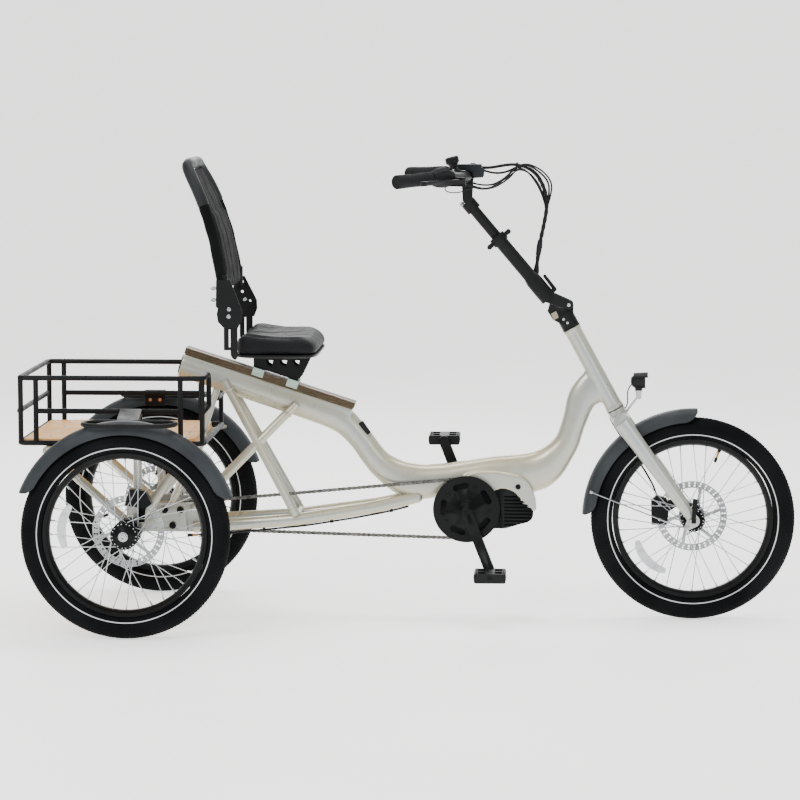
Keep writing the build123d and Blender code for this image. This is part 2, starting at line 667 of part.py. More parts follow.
def rear_sprocket():
    """Differential case that turns on the half shafts, with the driven sprocket."""
    case = pin_y(0, 260, -30, DIFF_HALF, DIFF_R) + pin_y(0, 260, -DIFF_HALF, -29, 18)
    case = case + Pos(0, CHAIN_Y, 260) * toothed_disc(SPROCKET_TEETH, TOOTH_T)
    for side in (-1, 1):
        low, high = sorted((side * 9, side * (DIFF_HALF + 1)))
        case = case - pin_y(0, 260, low, high, HALF_SHAFT_R + RUN_GAP)
    return case


# ---------------------------------------------------------------- fork and front end
LEG_FOOT = (WHEELBASE - 6, 270.0)


def fork():
    """Fork with steerer, crown, two oval legs and dropouts, and the wheel's through axle."""
    low = along(HEAD_BOTTOM, 180 - HEAD_ANGLE, -1.0)
    steerer_top = along(HEAD_BOTTOM, 180 - HEAD_ANGLE, HEAD_LENGTH + 36)
    body = rod(xyz(low), xyz(steerer_top), STEERER_R)
    body = body + rod(xyz(CROWN), xyz(along(HEAD_BOTTOM, 180 - HEAD_ANGLE, -SEAT_GAP)), HEAD_TUBE_R)
    body = body + pin_y(CROWN[0], CROWN[1], -FORK_Y, FORK_Y, CROWN_R)
    slope = math.atan2(LEG_FOOT[1] - CROWN[1], LEG_FOOT[0] - CROWN[0])
    length = math.hypot(LEG_FOOT[1] - CROWN[1], LEG_FOOT[0] - CROWN[0])
    for side in (-1, 1):
        sections = []
        for share, depth, width in ((0, 22, 13), (0.5, 17.5, 12), (1, 13, 9)):
            x = CROWN[0] + share * length * math.cos(slope)
            z = CROWN[1] + share * length * math.sin(slope)
            place = Plane(origin=(x, side * FORK_Y, z), x_dir=(0, 1, 0),
                          z_dir=(math.cos(slope), 0, math.sin(slope)))
            sections.append(place * Ellipse(width, depth))
        body = body + loft(sections)
        near, far = sorted((side * DROPOUT_INNER, side * (DROPOUT_INNER + DROPOUT_T)))
        body = body + hull_y([(*LEG_FOOT, 13), (WHEELBASE, 260, 16), (WHEELBASE - 16, 243, 7)], near, far)
    body = body - pin_y(WHEELBASE, 260, -80, 80, FRONT_AXLE_R + RUN_GAP)
    body = body - pin_y(WHEELBASE, 260, -DROPOUT_INNER, DROPOUT_INNER, 12)
    axle = pin_y(WHEELBASE, 260, -62, 68, FRONT_AXLE_R)
    axle = axle + pin_y(WHEELBASE, 260, DROPOUT_INNER + DROPOUT_T, 66, 10)
    axle = axle + pin_y(WHEELBASE, 260, -64, -DROPOUT_INNER - DROPOUT_T, 9)
    ear_high = -DROPOUT_INNER - DROPOUT_T
    for near, far in ((-9, -6), (6, 9)):
        axle = axle + block((WHEELBASE + near, -74, 254), (WHEELBASE + far, ear_high - 5, 266))
    axle = axle + rod((WHEELBASE - 9, -69, 260), (WHEELBASE + 9, -69, 260), 2.5)
    return [body, axle]


def front_fender():
    """Front fender with its tab under the crown and its two wire stays."""
    arch = Pos(WHEELBASE, 0, 260) * fender(FRONT_FENDER_R, 88, 178, FENDER_LIP)
    aim = math.degrees(math.atan2(CROWN[1] - 260, CROWN[0] - WHEELBASE))
    reach = math.hypot(CROWN[1] - 260, CROWN[0] - WHEELBASE) - CROWN_R - SEAT_GAP
    tab_low = xyz(along((WHEELBASE, 260), aim, FRONT_FENDER_R - 2))
    tab_high = xyz(along((WHEELBASE, 260), aim, reach))
    arch = arch + rod(tab_low, tab_high, 7)
    stay_start = along((WHEELBASE, 260), 165, FRONT_FENDER_R - 14)
    stay_y = DROPOUT_INNER + DROPOUT_T + SEAT_GAP + 2
    stay = rod(xyz(stay_start, FENDER_HALF - 1), (WHEELBASE - 30, stay_y, 243), 2)
    stay = stay + rod((WHEELBASE - 30, stay_y, 243), (WHEELBASE - 14, stay_y, 243), 2)
    return [arch + stay + mirrored(stay)]


def front_caliper():
    """Front brake caliper with its slot for the disc and its bracket to the left fork leg."""
    y_low = FRONT_ROTOR_Y - 13
    y_high = FRONT_ROTOR_Y + 11
    body = slab_y([(1306, 238), (1304, 300), (1318, 314), (1344, 306), (1350, 280), (1346, 238)], y_low, y_high)
    tab_high = FORK_Y - 10.2
    tab = slab_y([(1336, 262), (1336, 296), (1384, 312), (1392, 296)], tab_high - 3, tab_high)
    body = body + tab
    return body - pin_y(WHEELBASE, 260, FRONT_ROTOR_Y - 2, FRONT_ROTOR_Y + 2, ROTOR_R + 2)


def rear_calipers():
    """One caliper over each rear disc, on an arm from the bearing housing."""
    disc_y = HALF_TRACK - REAR_ROTOR_INSET
    body = slab_y([(-8, 326), (4, 366), (44, 362), (60, 330), (44, 318)], disc_y - 14, disc_y + 12)
    body = body - pin_y(0, 260, disc_y - 2, disc_y + 2, ROTOR_R + 2)
    arm_low = CARRIER_Y + CARRIER_WIDTH
    arm = slab_y([(20, 276), (10, 350), (40, 350), (34, 276)], arm_low, arm_low + 5)
    reach = block((14, arm_low + 2, 338), (38, disc_y - 13, 350))
    return both_sides(body + arm + reach)


def light_bracket():
    """Bent wire bracket from the crown to the headlight's ears."""
    foot = along(CROWN, 61, CROWN_R + 1)
    rods = bent_rod([xyz(foot), (1247, 0, 545), (1268, 0, 572)], 20, 3)
    ears = slab_y([(1262, 566), (1276, 566), (1276, 588), (1262, 588)], -14, 14)
    ears = ears - block((1255, -10.5, 574), (1285, 10.5, 600))
    pin = pin_y(1269, 582, -14, 14, 2.5)
    return rods + ears + pin


def headlight():
    """Hooded lamp on a foot that tilts on the bracket's pin."""
    lamp = rod((1251, 0, 610), (1288, 0, 612), 19)
    hood = rod((1270, 0, 612), (1293, 0, 614), 21) - rod((1287, 0, 613), (1296, 0, 614), 17)
    outline = [(1264, 576.5), (1274, 576.5), (1278, 584), (1280, 598), (1258, 598), (1260, 584)]
    foot = slab_y(outline, -10, 10)
    return lamp + hood + foot - pin_y(1269, 582, -20, 20, 2.5 + RUN_GAP)


def qr_lever():
    """Quick-release lever of the front axle, standing up when it is closed."""
    x = WHEELBASE
    lever = rod((x - 5.7, -69, 260), (x + 5.7, -69, 260), 4.6)
    arm = slab_y([(x - 5, 262), (x + 5, 262), (x + 9, 318), (x - 3, 320)], -75, -70)
    return lever + arm - rod((x - 20, -69, 260), (x + 20, -69, 260), 2.5 + RUN_GAP)


def stem_base():
    """Clamp on the steerer with a tongue for the tilting handlepost."""
    low = along(HEAD_BOTTOM, 180 - HEAD_ANGLE, HEAD_LENGTH + SEAT_GAP)
    high = along(HEAD_BOTTOM, 180 - HEAD_ANGLE, HEAD_LENGTH + 40)
    body = rod(xyz(low), xyz(high), HEAD_TUBE_R)
    horn = slab_y([(1088, 748), (1050, 768), (1036, 790), (1042, 802), (1060, 794), (1090, 790)], -15, 15)
    tongue = hull_y([(1090, 778, 12), (*TILT_PIVOT, 12)], -10, 10)
    body = body + horn + tongue
    steerer_low = along(HEAD_BOTTOM, 180 - HEAD_ANGLE, HEAD_LENGTH - 2)
    steerer_high = along(HEAD_BOTTOM, 180 - HEAD_ANGLE, HEAD_LENGTH + 36.3)
    body = body - rod(xyz(steerer_low), xyz(steerer_high), STEERER_R + RUN_GAP)
    body = body - pin_y(TILT_PIVOT[0], TILT_PIVOT[1], -20, 20, 4 + RUN_GAP)
    return body


# ---------------------------------------------------------------- handlepost and handlebar
TILT_LEVER_PIVOT = along(POST_FOOT, POST_ANGLE, 10, -27)


def handlepost():
    """Lower post with its forked foot, clamp collar and the ears of the tilt lever."""
    foot = xyz(POST_FOOT)
    tube_top = xyz(along(POST_FOOT, POST_ANGLE, POST_LOWER_LENGTH))
    socket_top = xyz(along(POST_FOOT, POST_ANGLE, 58))
    body = rod(foot, tube_top, POST_LOWER_R) + rod(foot, socket_top, 21)
    cheek_heel = along(POST_FOOT, POST_ANGLE, 10, 0)
    for low, high in ((-16.5, -10.5), (10.5, 16.5)):
        body = body + hull_y([(*TILT_PIVOT, 12), (*cheek_heel, 15)], low, high)
    collar_low = xyz(along(POST_FOOT, POST_ANGLE, POST_LOWER_LENGTH - 22))
    body = body + rod(collar_low, tube_top, 21)
    lug = along(POST_FOOT, POST_ANGLE, POST_LOWER_LENGTH - 11)
    body = body + rod(xyz(along(lug, POST_ANGLE, 0, 34)), xyz(along(lug, POST_ANGLE, 0, -34)), 6)
    for low, high in ((-13, -9.5), (9.5, 13)):
        root = along(POST_FOOT, POST_ANGLE, 10, -15)
        body = body + hull_y([(*TILT_LEVER_PIVOT, 5), (*root, 6)], low, high)
    bore_low = xyz(along(POST_FOOT, POST_ANGLE, 3))
    bore_high = xyz(along(POST_FOOT, POST_ANGLE, POST_LOWER_LENGTH + 2))
    body = body - rod(bore_low, bore_high, POST_UPPER_R + RUN_GAP)
    body = body + pin_y(TILT_PIVOT[0], TILT_PIVOT[1], -19, 19, 4)
    return body + pin_y(TILT_LEVER_PIVOT[0], TILT_LEVER_PIVOT[1], -13, 13, 2.5)


def tilt_lever():
    """Locking lever of the handlepost's tilt, lying along the post when it is locked."""
    tip = along(TILT_LEVER_PIVOT, POST_ANGLE, 42, -2)
    lever = hull_y([(*TILT_LEVER_PIVOT, 5), (*tip, 4)], -9, 9)
    return lever - pin_y(TILT_LEVER_PIVOT[0], TILT_LEVER_PIVOT[1], -20, 20, 2.5 + RUN_GAP)


def stem():
    """Upper post that slides in the lower one, and the upright that clamps the handlebar."""
    start = along(POST_FOOT, POST_ANGLE, POST_LOWER_LENGTH - POST_INSERT)
    end = along(POST_FOOT, POST_ANGLE, POST_LOWER_LENGTH - POST_INSERT + POST_UPPER_LENGTH)
    body = rod(xyz(start), xyz(end), POST_UPPER_R)
    upright = hull_y([(BAR_X, 1073, 12), (BAR_X, BAR_Z, 15)], -21, 21)
    head = rod(xyz(along(end, POST_ANGLE, -26)), xyz(along(end, POST_ANGLE, 2)), 19)
    body = body + upright + head
    bolt = pin_y(BAR_X - 14, 1060, -24, 24, 5)
    body = body + bolt
    return body - pin_y(BAR_X, BAR_Z, -40, 40, BAR_R + 0.02)


GRIP_INNER = (786.0, 192.0)
GRIP_OUTER = (668.0, 334.0)
GRIP_Z = 1135.0
GRIP_TIP_Z = 1127.0


def bar_point(share):
    """Point on the left grip's axis, from its inner end (0) to the bar's tip (1)."""
    x = GRIP_INNER[0] + share * (GRIP_OUTER[0] - GRIP_INNER[0])
    y = GRIP_INNER[1] + share * (GRIP_OUTER[1] - GRIP_INNER[1])
    return (x, y, GRIP_Z + share * (GRIP_TIP_Z - GRIP_Z))


BAR_RUN = math.hypot(GRIP_OUTER[0] - GRIP_INNER[0], GRIP_OUTER[1] - GRIP_INNER[1])
SLEEVE_END = THROTTLE_LENGTH / BAR_RUN


def handlebar():
    """Swept-back handlebar in one tube."""
    left = [(BAR_X, 62, BAR_Z), bar_point(0), bar_point(1)]
    right = [(x, -y, z) for x, y, z in left]
    return bent_rod([right[2], right[1], right[0], left[0], left[1], left[2]], 40, BAR_R)


def grips():
    """Both rubber grips, ribbed at their outer ends."""
    pieces = []
    for side in (-1, 1):
        low = bar_point(SLEEVE_END + 0.01 if side < 0 else 0.12)
        high = bar_point(1.012)
        start = (low[0], side * low[1], low[2])
        end = (high[0], side * high[1], high[2])
        tip = bar_point(1)
        bar_end = (tip[0], side * tip[1], tip[2])
        grip = rod(start, end, GRIP_R)
        pieces.append(grip - rod(start, bar_end, BAR_R + RUN_GAP))
    return pieces


def throttle():
    """Flared twist sleeve inboard of the right grip."""
    low = bar_point(0.03)
    high = bar_point(SLEEVE_END)
    run = Vector(high[0] - low[0], low[1] - high[1], high[2] - low[2])
    place = Plane(origin=(low[0], -low[1], low[2]), z_dir=run)
    length = run.length
    body = place * Cone(26, 18, length, align=(Align.CENTER, Align.CENTER, Align.MIN))
    return body - place * Pos(0, 0, -1) * Cylinder(BAR_R + RUN_GAP, length + 2,
                                                    align=(Align.CENTER, Align.CENTER, Align.MIN))


LEVER_REACH = 60.0
GRIP_YAW = math.atan2(GRIP_OUTER[1] - GRIP_INNER[1], GRIP_OUTER[0] - GRIP_INNER[0])
NORMAL = (math.sin(GRIP_YAW), -math.cos(GRIP_YAW))
LEVER_PIVOT = (GRIP_INNER[0] + 8 + 40 * NORMAL[0], GRIP_INNER[1] - 12 + 40 * NORMAL[1])
LEVER_Z = 1124.0


def lever_perch():
    """Left brake lever's perch: a clamp on the bar with an arm to the pivot."""
    foot = (GRIP_INNER[0] + 8, GRIP_INNER[1] - 12)
    inner = bar_point(0.02)
    back = (inner[0] + 10, inner[1] - 14, inner[2])
    clamp = rod((inner[0] + 2, inner[1] - 3, inner[2]), back, 17)
    arm_low = flat_arm((foot[0], foot[1], 11), (*LEVER_PIVOT, 9), LEVER_Z - 12, LEVER_Z - 6.3)
    arm_high = flat_arm((foot[0], foot[1], 11), (*LEVER_PIVOT, 9), LEVER_Z + 6.3, LEVER_Z + 11)
    pin = rod((*LEVER_PIVOT, LEVER_Z - 12), (*LEVER_PIVOT, LEVER_Z + 11), 3)
    bar_hole = rod((BAR_X, 62, BAR_Z), bar_point(0), BAR_R + 0.02)
    return clamp + arm_low + arm_high + pin - bar_hole


def flat_arm(first, second, z_low, z_high):
    """Two discs and the band between them, thick along Z."""
    body = rod((first[0], first[1], z_low), (first[0], first[1], z_high), first[2])
    body = body + rod((second[0], second[1], z_low), (second[0], second[1], z_high), second[2])
    corners = [(x, y, z_low) for x, y in tangent_quad(first, second)]
    band = extrude(make_face(Polyline(*corners, close=True)), amount=z_high - z_low, dir=(0, 0, 1))
    return body + band


def brake_lever():
    """Left brake lever: a curved blade in front of the grip."""
    knee = (LEVER_PIVOT[0] - 38, LEVER_PIVOT[1] + 60, 6)
    outer = bar_point(0.82)
    tip = (outer[0] + LEVER_REACH * NORMAL[0], outer[1] + LEVER_REACH * NORMAL[1], 7.5)
    blade = flat_arm((*LEVER_PIVOT, 8), knee, LEVER_Z - 6, LEVER_Z + 6)
    blade = blade + flat_arm(knee, tip, LEVER_Z - 5, LEVER_Z + 5)
    bore_low = (*LEVER_PIVOT, LEVER_Z - 8)
    bore_high = (*LEVER_PIVOT, LEVER_Z + 8)
    return blade - rod(bore_low, bore_high, 3 + RUN_GAP)


DISPLAY_X = (806.0, 868.0)
DISPLAY_Z = (1146.5, 1162.0)


def display():
    """Control display above the bar clamp, tilted up towards the front."""
    low = (DISPLAY_X[0], -34, DISPLAY_Z[0])
    high = (DISPLAY_X[1], 34, DISPLAY_Z[1])
    box = fillet(block(low, high).edges().filter_by(Axis.Z), 7)
    well = block((838, 10, DISPLAY_Z[1] - 4), (852, 24, DISPLAY_Z[1] + 1))
    return box - well


def display_button():
    """Push button in the display's top."""
    gap = 0.4
    return block((838 + gap, 10 + gap, DISPLAY_Z[1] - 2), (852 - gap, 24 - gap, DISPLAY_Z[1] + 2))


BELL_FOOT = (802.0, -66.0, 1146.0)
BELL_TOP = (793.0, -66.0, 1180.0)


def control_pods():
    """Brake lever perches, the bell's post and the left hand's switch pod."""
    pieces = both_sides(lever_perch())
    post_top = along((BELL_FOOT[0], BELL_FOOT[2]), 105, 12)
    ring = rod((827, -60, 1131), (822, -74, 1131.5), 15.5)
    elbow = along((BELL_FOOT[0], BELL_FOOT[2]), 105, 5)
    post = ring + rod((823, -66, 1139), xyz(elbow, -66), 5) + rod(xyz(elbow, -66), xyz(post_top, -66), 4)
    post = post + rod(xyz(post_top, -66), xyz(along(post_top, 105, 17), -66), 2.5)
    post = post - rod((BAR_X, -62, BAR_Z), (GRIP_INNER[0], -GRIP_INNER[1], GRIP_Z), BAR_R + 0.02)
    post = post - rod((BAR_X, -30, BAR_Z), (BAR_X, -66, BAR_Z), BAR_R + 0.02)
    pieces.append(post)
    low = bar_point(-0.45)
    high = bar_point(-0.22)
    pod = rod(low, high, 19) - rod((BAR_X, 62, BAR_Z), bar_point(0), BAR_R + 0.02)
    pieces.append(pod)
    return pieces


def bell():
    """Bell cup that turns on its post."""
    foot = along((BELL_FOOT[0], BELL_FOOT[2]), 105, 12.4)
    top = along(foot, 105, 19)
    cup = rod(xyz(foot, -66), xyz(top, -66), 15.5)
    stem_top = along(foot, 105, 17.2)
    return cup - rod(xyz(along(foot, 105, -1), -66), xyz(stem_top, -66), 2.5 + RUN_GAP)


# ---------------------------------------------------------------- cables
def cable(points, radius):
    """Cable along straight runs joined by arcs as large as the runs allow."""
    corners = [Vector(*p) for p in points]
    radii = []
    for before, here, after in zip(corners, corners[1:], corners[2:]):
        first = here - before
        second = after - here
        turn = math.radians(first.get_angle(second))
        radii.append(0.45 * min(first.length, second.length) / math.tan(turn / 2))
    path = FilletPolyline(*points, radius=radii)
    section = Plane(origin=path @ 0, z_dir=path % 0) * Circle(radius)
    tube = sweep(section, path=path)
    share = tube.volume / (math.pi * radius ** 2 * path.length)
    print("cable radii", [round(r) for r in radii], "volume share", round(share, 4))
    return tube


LOOM_ROUTE = ((868.5, 0, 1153), (888, 0, 1152), (918, 1, 1158), (952, 3, 1162), (985, 5, 1153),
              (1012, 8, 1130), (1029, 12, 1095), (1034, 17, 1052), (1026, 22, 1008), (1016, 25, 962),
              (1010, 26, 918), (1006, 25, 884))
FRONT_HOSE_ROUTE = ((1196, 36, 524), (1199, 50, 508), (1212, 60, 484), (1233, 62, 452), (1256, 62, 420),
                    (1278, 61, 390), (1297, 57, 360), (1311, 52, 334), (1318, 46, 314.5))
REAR_HOSE_ROUTE = ((684, -22, 288.5), (640, -27, 277.5), (600, -31, 269.4), (545, -39, 260), (488, -46, 251.5),
                   (430, -53, 242.5), (372, -58, 236.3), (316, -61, 231.5), (262, -63, 226.5),
                   (214, -67, 219.5), (180, -84, 222), (158, -108, 236))


# ---------------------------------------------------------------- seat
def seat_bracket():
    """Two lattice plates and their cross bars, from the sliders up to the seat pan."""
    foot_rear = along(RAIL_REAR, -RAIL_SLOPE, 178, 12)
    foot_front = along(RAIL_REAR, -RAIL_SLOPE, 298, 12)
    top = CUSHION_BOTTOM - 18
    points = [foot_rear, (foot_rear[0], top), (434, top), (foot_front[0] + 6, foot_front[1] + 4), foot_front]
    plate = slab_y(points, -4, 0)
    for x, width in ((318, 20), (352, 22), (386, 20)):
        cut = slab_y([(x, top - 9), (x + width, top - 9), (x + width - 4, top - 26), (x + 6, top - 20)], -10, 5)
        plate = plate - cut
    left = Pos(0, 32, 0) * plate
    body = left + mirrored(left)
    shelf = slab_y([(foot_rear[0], top - 4), (foot_rear[0], top), (434, top), (434, top - 4)], -32, 32)
    base = rail_block(178, 120, 64, -12, -8)
    return body + shelf + base


def slider_blocks():
    """Two clamp blocks that hook over the rail's edges."""
    pieces = []
    for start in (180, 272):
        shoe = rail_block(start, 30, RAIL_WIDTH + 14, -7.7, 13)
        shoe = shoe - rail_block(start - 1, 32, RAIL_WIDTH + 0.6, -SEAT_GAP, 20)
        pieces.append(shoe)
    return pieces


def seat_pan():
    """Seat tray with the two lower recline plates."""
    bottom = CUSHION_BOTTOM - 18 + SEAT_GAP
    top = CUSHION_BOTTOM - SEAT_GAP
    tray = block((256, 14 - SEAT_HALF, bottom), (466, SEAT_HALF - 14, top))
    tray = fillet(tray.edges().filter_by(Axis.Z), 18)
    plate_y = SEAT_HALF + 1
    x, z = RECLINE_PIVOT
    plate = slab_y([(238, bottom), (300, bottom), (300, top), (280, 756), (268, 792), (238, 792), (232, 756)],
                   plate_y, plate_y + 4)
    link = block((270, SEAT_HALF - 30, bottom), (298, plate_y + 1, top))
    plate = plate + link
    pin = pin_y(x, z, plate_y, plate_y + 11, 5)
    side = plate + pin
    return tray + side + mirrored(side)


def seat_cushion():
    """Plain closed solid of the seat cushion."""
    box = block((CUSHION_REAR_X, -SEAT_HALF, CUSHION_BOTTOM), (CUSHION_FRONT_X, SEAT_HALF, CUSHION_TOP))
    return fillet(box.edges(), 14)


BACK_LINE = ((238, 872), (222, 950), (198, 1030), (168, 1098), (132, 1160))


def back_frame():
    """Hoop of the backrest with the two upper recline plates."""
    half = SEAT_HALF - 8
    left = [(236, half, 862), (222, half, 950), (198, half, 1030), (166, half - 14, 1100), (134, half - 52, 1162)]
    right = [(x, -y, z) for x, y, z in reversed(left)]
    hoop = bent_rod(left + right, 24, BACK_TUBE_R)
    plate_y = SEAT_HALF + 5 + SEAT_GAP
    plate = slab_y([(214, 884), (258, 884), (276, 802), (268, 762), (242, 756), (218, 800)], plate_y, plate_y + 4)
    plate = plate - pin_y(RECLINE_PIVOT[0], RECLINE_PIVOT[1], plate_y - 1, plate_y + 5, 5 + RUN_GAP)
    lug = pin_y(236, 868, half - 4, plate_y + 6, 9)
    side = plate + lug
    return hoop + side + mirrored(side)


def back_pad():
    """Plain closed solid of the back cushion, between the sides of its hoop."""
    front = [(x + 13, z) for x, z in BACK_LINE]
    rear = [(x - 12, z - 4) for x, z in reversed(BACK_LINE)]
    return slab_y(front + rear, 42 - SEAT_HALF, SEAT_HALF - 42)


# ---------------------------------------------------------------- build and write
def place_wheel(shape, x, y):
    """Move a piece made round the Y axis to its wheel's centre."""
    return Pos(x, y, 260) * shape


def wheel_nodes():
    """All pieces of the three wheels."""
    made_tyre = tyre()
    made_rim = rim()
    made_rotor = rotor()
    low, high = FRONT_FLANGE_Y
    front_spokes = spokes(FRONT_FLANGE_R, low, high)
    nodes = {
        "front_tyre": [place_wheel(made_tyre, WHEELBASE, 0)],
        "front_rim": [place_wheel(made_rim, WHEELBASE, 0)],
        "front_spokes": [place_wheel(bar, WHEELBASE, 0) for bar in front_spokes],
        "front_hub": [place_wheel(front_hub(), WHEELBASE, 0)],
        "front_rotor": [place_wheel(made_rotor, WHEELBASE, FRONT_ROTOR_Y)],
    }
    rear_spokes = spokes(REAR_FLANGE_R, -REAR_FLANGE_SPREAD, REAR_FLANGE_SPREAD)
    left = {
        "tyre": [place_wheel(made_tyre, 0, HALF_TRACK)],
        "rim": [place_wheel(made_rim, 0, HALF_TRACK)],
        "spokes": [place_wheel(bar, 0, HALF_TRACK) for bar in rear_spokes],
        "hub": [place_wheel(rear_hub(), 0, 0)],
        "rotor": [place_wheel(made_rotor, 0, HALF_TRACK - REAR_ROTOR_INSET)],
    }
    for name, pieces in left.items():
        nodes["rear_left_" + name] = pieces
        nodes["rear_right_" + name] = [mirrored(piece) for piece in pieces]
    return nodes


def frame_nodes():
    """All pieces fixed to the frame."""
    rear_arch = Pos(0, HALF_TRACK, 260) * fender(FENDER_R, 20, 158, FENDER_LIP)
    return {
        "main_frame": [main_frame()],
        "rear_frame": [rear_frame()],
        "axle_carrier": axle_carrier(),
        "seat_rail": [seat_rail()],
        "deck_board": [deck_board()],
        "basket": [basket()],
        "side_grips": side_grips(),
        "rear_fenders": both_sides(rear_arch),
        "motor_unit": [motor_unit()],
        "chain": [chain()],
        "rear_calipers": rear_calipers(),
        "battery_pack": [battery_pack()],
        "rear_brake_hose": [cable(REAR_HOSE_ROUTE, 2.5)],
    }


def moving_nodes():
    """All pieces of the steering, handlebar, drive and seat."""
    left_lever = brake_lever()
    return {
        "fork": fork(),
        "front_fender": front_fender(),
        "front_caliper": [front_caliper()],
        "front_brake_hose": [cable(FRONT_HOSE_ROUTE, 2.5)],
        "stem_base": [stem_base()],
        "light_bracket": [light_bracket()],
        "headlight": [headlight()],
        "qr_lever": [qr_lever()],
        "handlepost": [handlepost()],
        "tilt_lever": [tilt_lever()],
        "stem": [stem()],
        "handlebar": [handlebar()],
        "grips": grips(),
        "throttle": [throttle()],
        "control_pods": control_pods(),
        "brake_lever_left": [left_lever],
        "brake_lever_right": [mirrored(left_lever)],
        "display": [display()],
        "display_button": [display_button()],
        "bell": [bell()],
        "cable_loom": [cable(LOOM_ROUTE, 5)],
        "crankset": [crankset()],
        "chainring": [chainring()],
        "pedal_right": [pedal(-1)],
        "pedal_left": [pedal(1)],
        "rear_sprocket": [rear_sprocket()],
        "seat_bracket": [seat_bracket()],
        "slider_blocks": slider_blocks(),
        "seat_pan": [seat_pan()],
        "seat_cushion": [seat_cushion()],
        "back_frame": [back_frame()],
        "back_pad": [back_pad()],
    }


# the basket's rear face and the front tyre are the two ends of the vehicle
REAR_END = BASKET_REAR_X - BASKET_TUBE_R
FRONT_END = WHEELBASE + TYRE_R
MIDDLE_X = (REAR_END + FRONT_END) / 2

nodes = {**frame_nodes(), **wheel_nodes(), **moving_nodes()}
for name, pieces in nodes.items():
    moved = [Pos(-MIDDLE_X, 0, 0) * solid for solid in solids_of(pieces)]
    shape = moved[0] if len(moved) == 1 else Compound(moved)
    export_step(shape, f"parts/{name}.step")
print(len(nodes), "nodes, middle at x", MIDDLE_X)
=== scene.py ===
import logging
import math
from dataclasses import dataclass
from enum import Enum

import bmesh
import bpy
import numpy as np
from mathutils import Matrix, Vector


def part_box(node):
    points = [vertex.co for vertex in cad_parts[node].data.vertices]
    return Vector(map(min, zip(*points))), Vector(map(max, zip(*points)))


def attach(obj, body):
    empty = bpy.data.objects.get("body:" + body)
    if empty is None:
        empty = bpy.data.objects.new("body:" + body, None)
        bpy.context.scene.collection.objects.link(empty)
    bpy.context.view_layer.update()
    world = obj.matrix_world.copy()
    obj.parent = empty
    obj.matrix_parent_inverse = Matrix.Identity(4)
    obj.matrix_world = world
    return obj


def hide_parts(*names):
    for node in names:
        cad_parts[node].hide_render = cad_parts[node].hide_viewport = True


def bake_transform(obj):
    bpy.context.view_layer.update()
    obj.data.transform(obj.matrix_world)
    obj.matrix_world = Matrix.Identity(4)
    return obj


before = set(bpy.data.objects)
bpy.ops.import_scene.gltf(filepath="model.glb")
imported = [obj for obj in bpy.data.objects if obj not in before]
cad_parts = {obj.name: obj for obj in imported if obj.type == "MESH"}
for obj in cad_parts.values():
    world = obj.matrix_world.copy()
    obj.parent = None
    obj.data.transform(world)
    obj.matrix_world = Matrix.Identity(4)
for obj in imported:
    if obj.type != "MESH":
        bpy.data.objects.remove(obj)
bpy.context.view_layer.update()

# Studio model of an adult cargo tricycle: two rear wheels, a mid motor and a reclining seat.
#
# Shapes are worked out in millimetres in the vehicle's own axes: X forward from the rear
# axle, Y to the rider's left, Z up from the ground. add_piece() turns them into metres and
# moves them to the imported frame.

Array = np.ndarray
MM = 0.001
log = logging.getLogger("tricycle")


def node_middle(node: str) -> Array:
    """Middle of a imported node's box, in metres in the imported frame.

    Args:
        node: name of the node.

    Returns:
        The middle point.
    """
    low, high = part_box(node)
    return (np.array(low) + np.array(high)) / 2


AXLE_X = float(node_middle("rear_left_rim")[0])


def vehicle_middle(node: str) -> Array:
    """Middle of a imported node's box, in vehicle millimetres.

    Args:
        node: name of the node.

    Returns:
        The middle point.
    """
    return (node_middle(node) - np.array((AXLE_X, 0.0, 0.0))) / MM


def to_frame(points: Array) -> Array:
    """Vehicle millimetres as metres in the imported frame."""
    return np.asarray(points, float) * MM + np.array((AXLE_X, 0.0, 0.0))


# ---------------------------------------------------------------- surfaces
@dataclass
class Surface:
    """Points in vehicle millimetres, and faces as arrays of corner numbers, one array per corner count."""

    points: Array
    faces: list[Array]

    def volume(self) -> float:
        """Signed volume: the sum of p0 . (p1 x p2) / 6 over every face's fan of triangles."""
        total = 0.0
        for block in self.faces:
            first = self.points[block[:, 0]]
            for k in range(1, block.shape[1] - 1):
                second = self.points[block[:, k]]
                third = self.points[block[:, k + 1]]
                total += float(np.sum(first * np.cross(second, third)))
        return total / 6

    def outward(self) -> "Surface":
        """The same closed surface with its faces turned outwards."""
        if self.volume() < 0:
            return Surface(self.points, [block[:, ::-1] for block in self.faces])
        return self

    def mirrored(self) -> "Surface":
        """The surface on the other side of the vehicle."""
        flipped = self.points * np.array((1.0, -1.0, 1.0))
        return Surface(flipped, [block[:, ::-1] for block in self.faces])


def join(surfaces: list[Surface]) -> Surface:
    """Several surfaces as one, without merging their points.

    Args:
        surfaces: the surfaces.

    Returns:
        One surface with all points and faces.
    """
    faces = []
    start = 0
    for surface in surfaces:
        faces.extend(block + start for block in surface.faces)
        start += len(surface.points)
    return Surface(np.concatenate([surface.points for surface in surfaces]), faces)


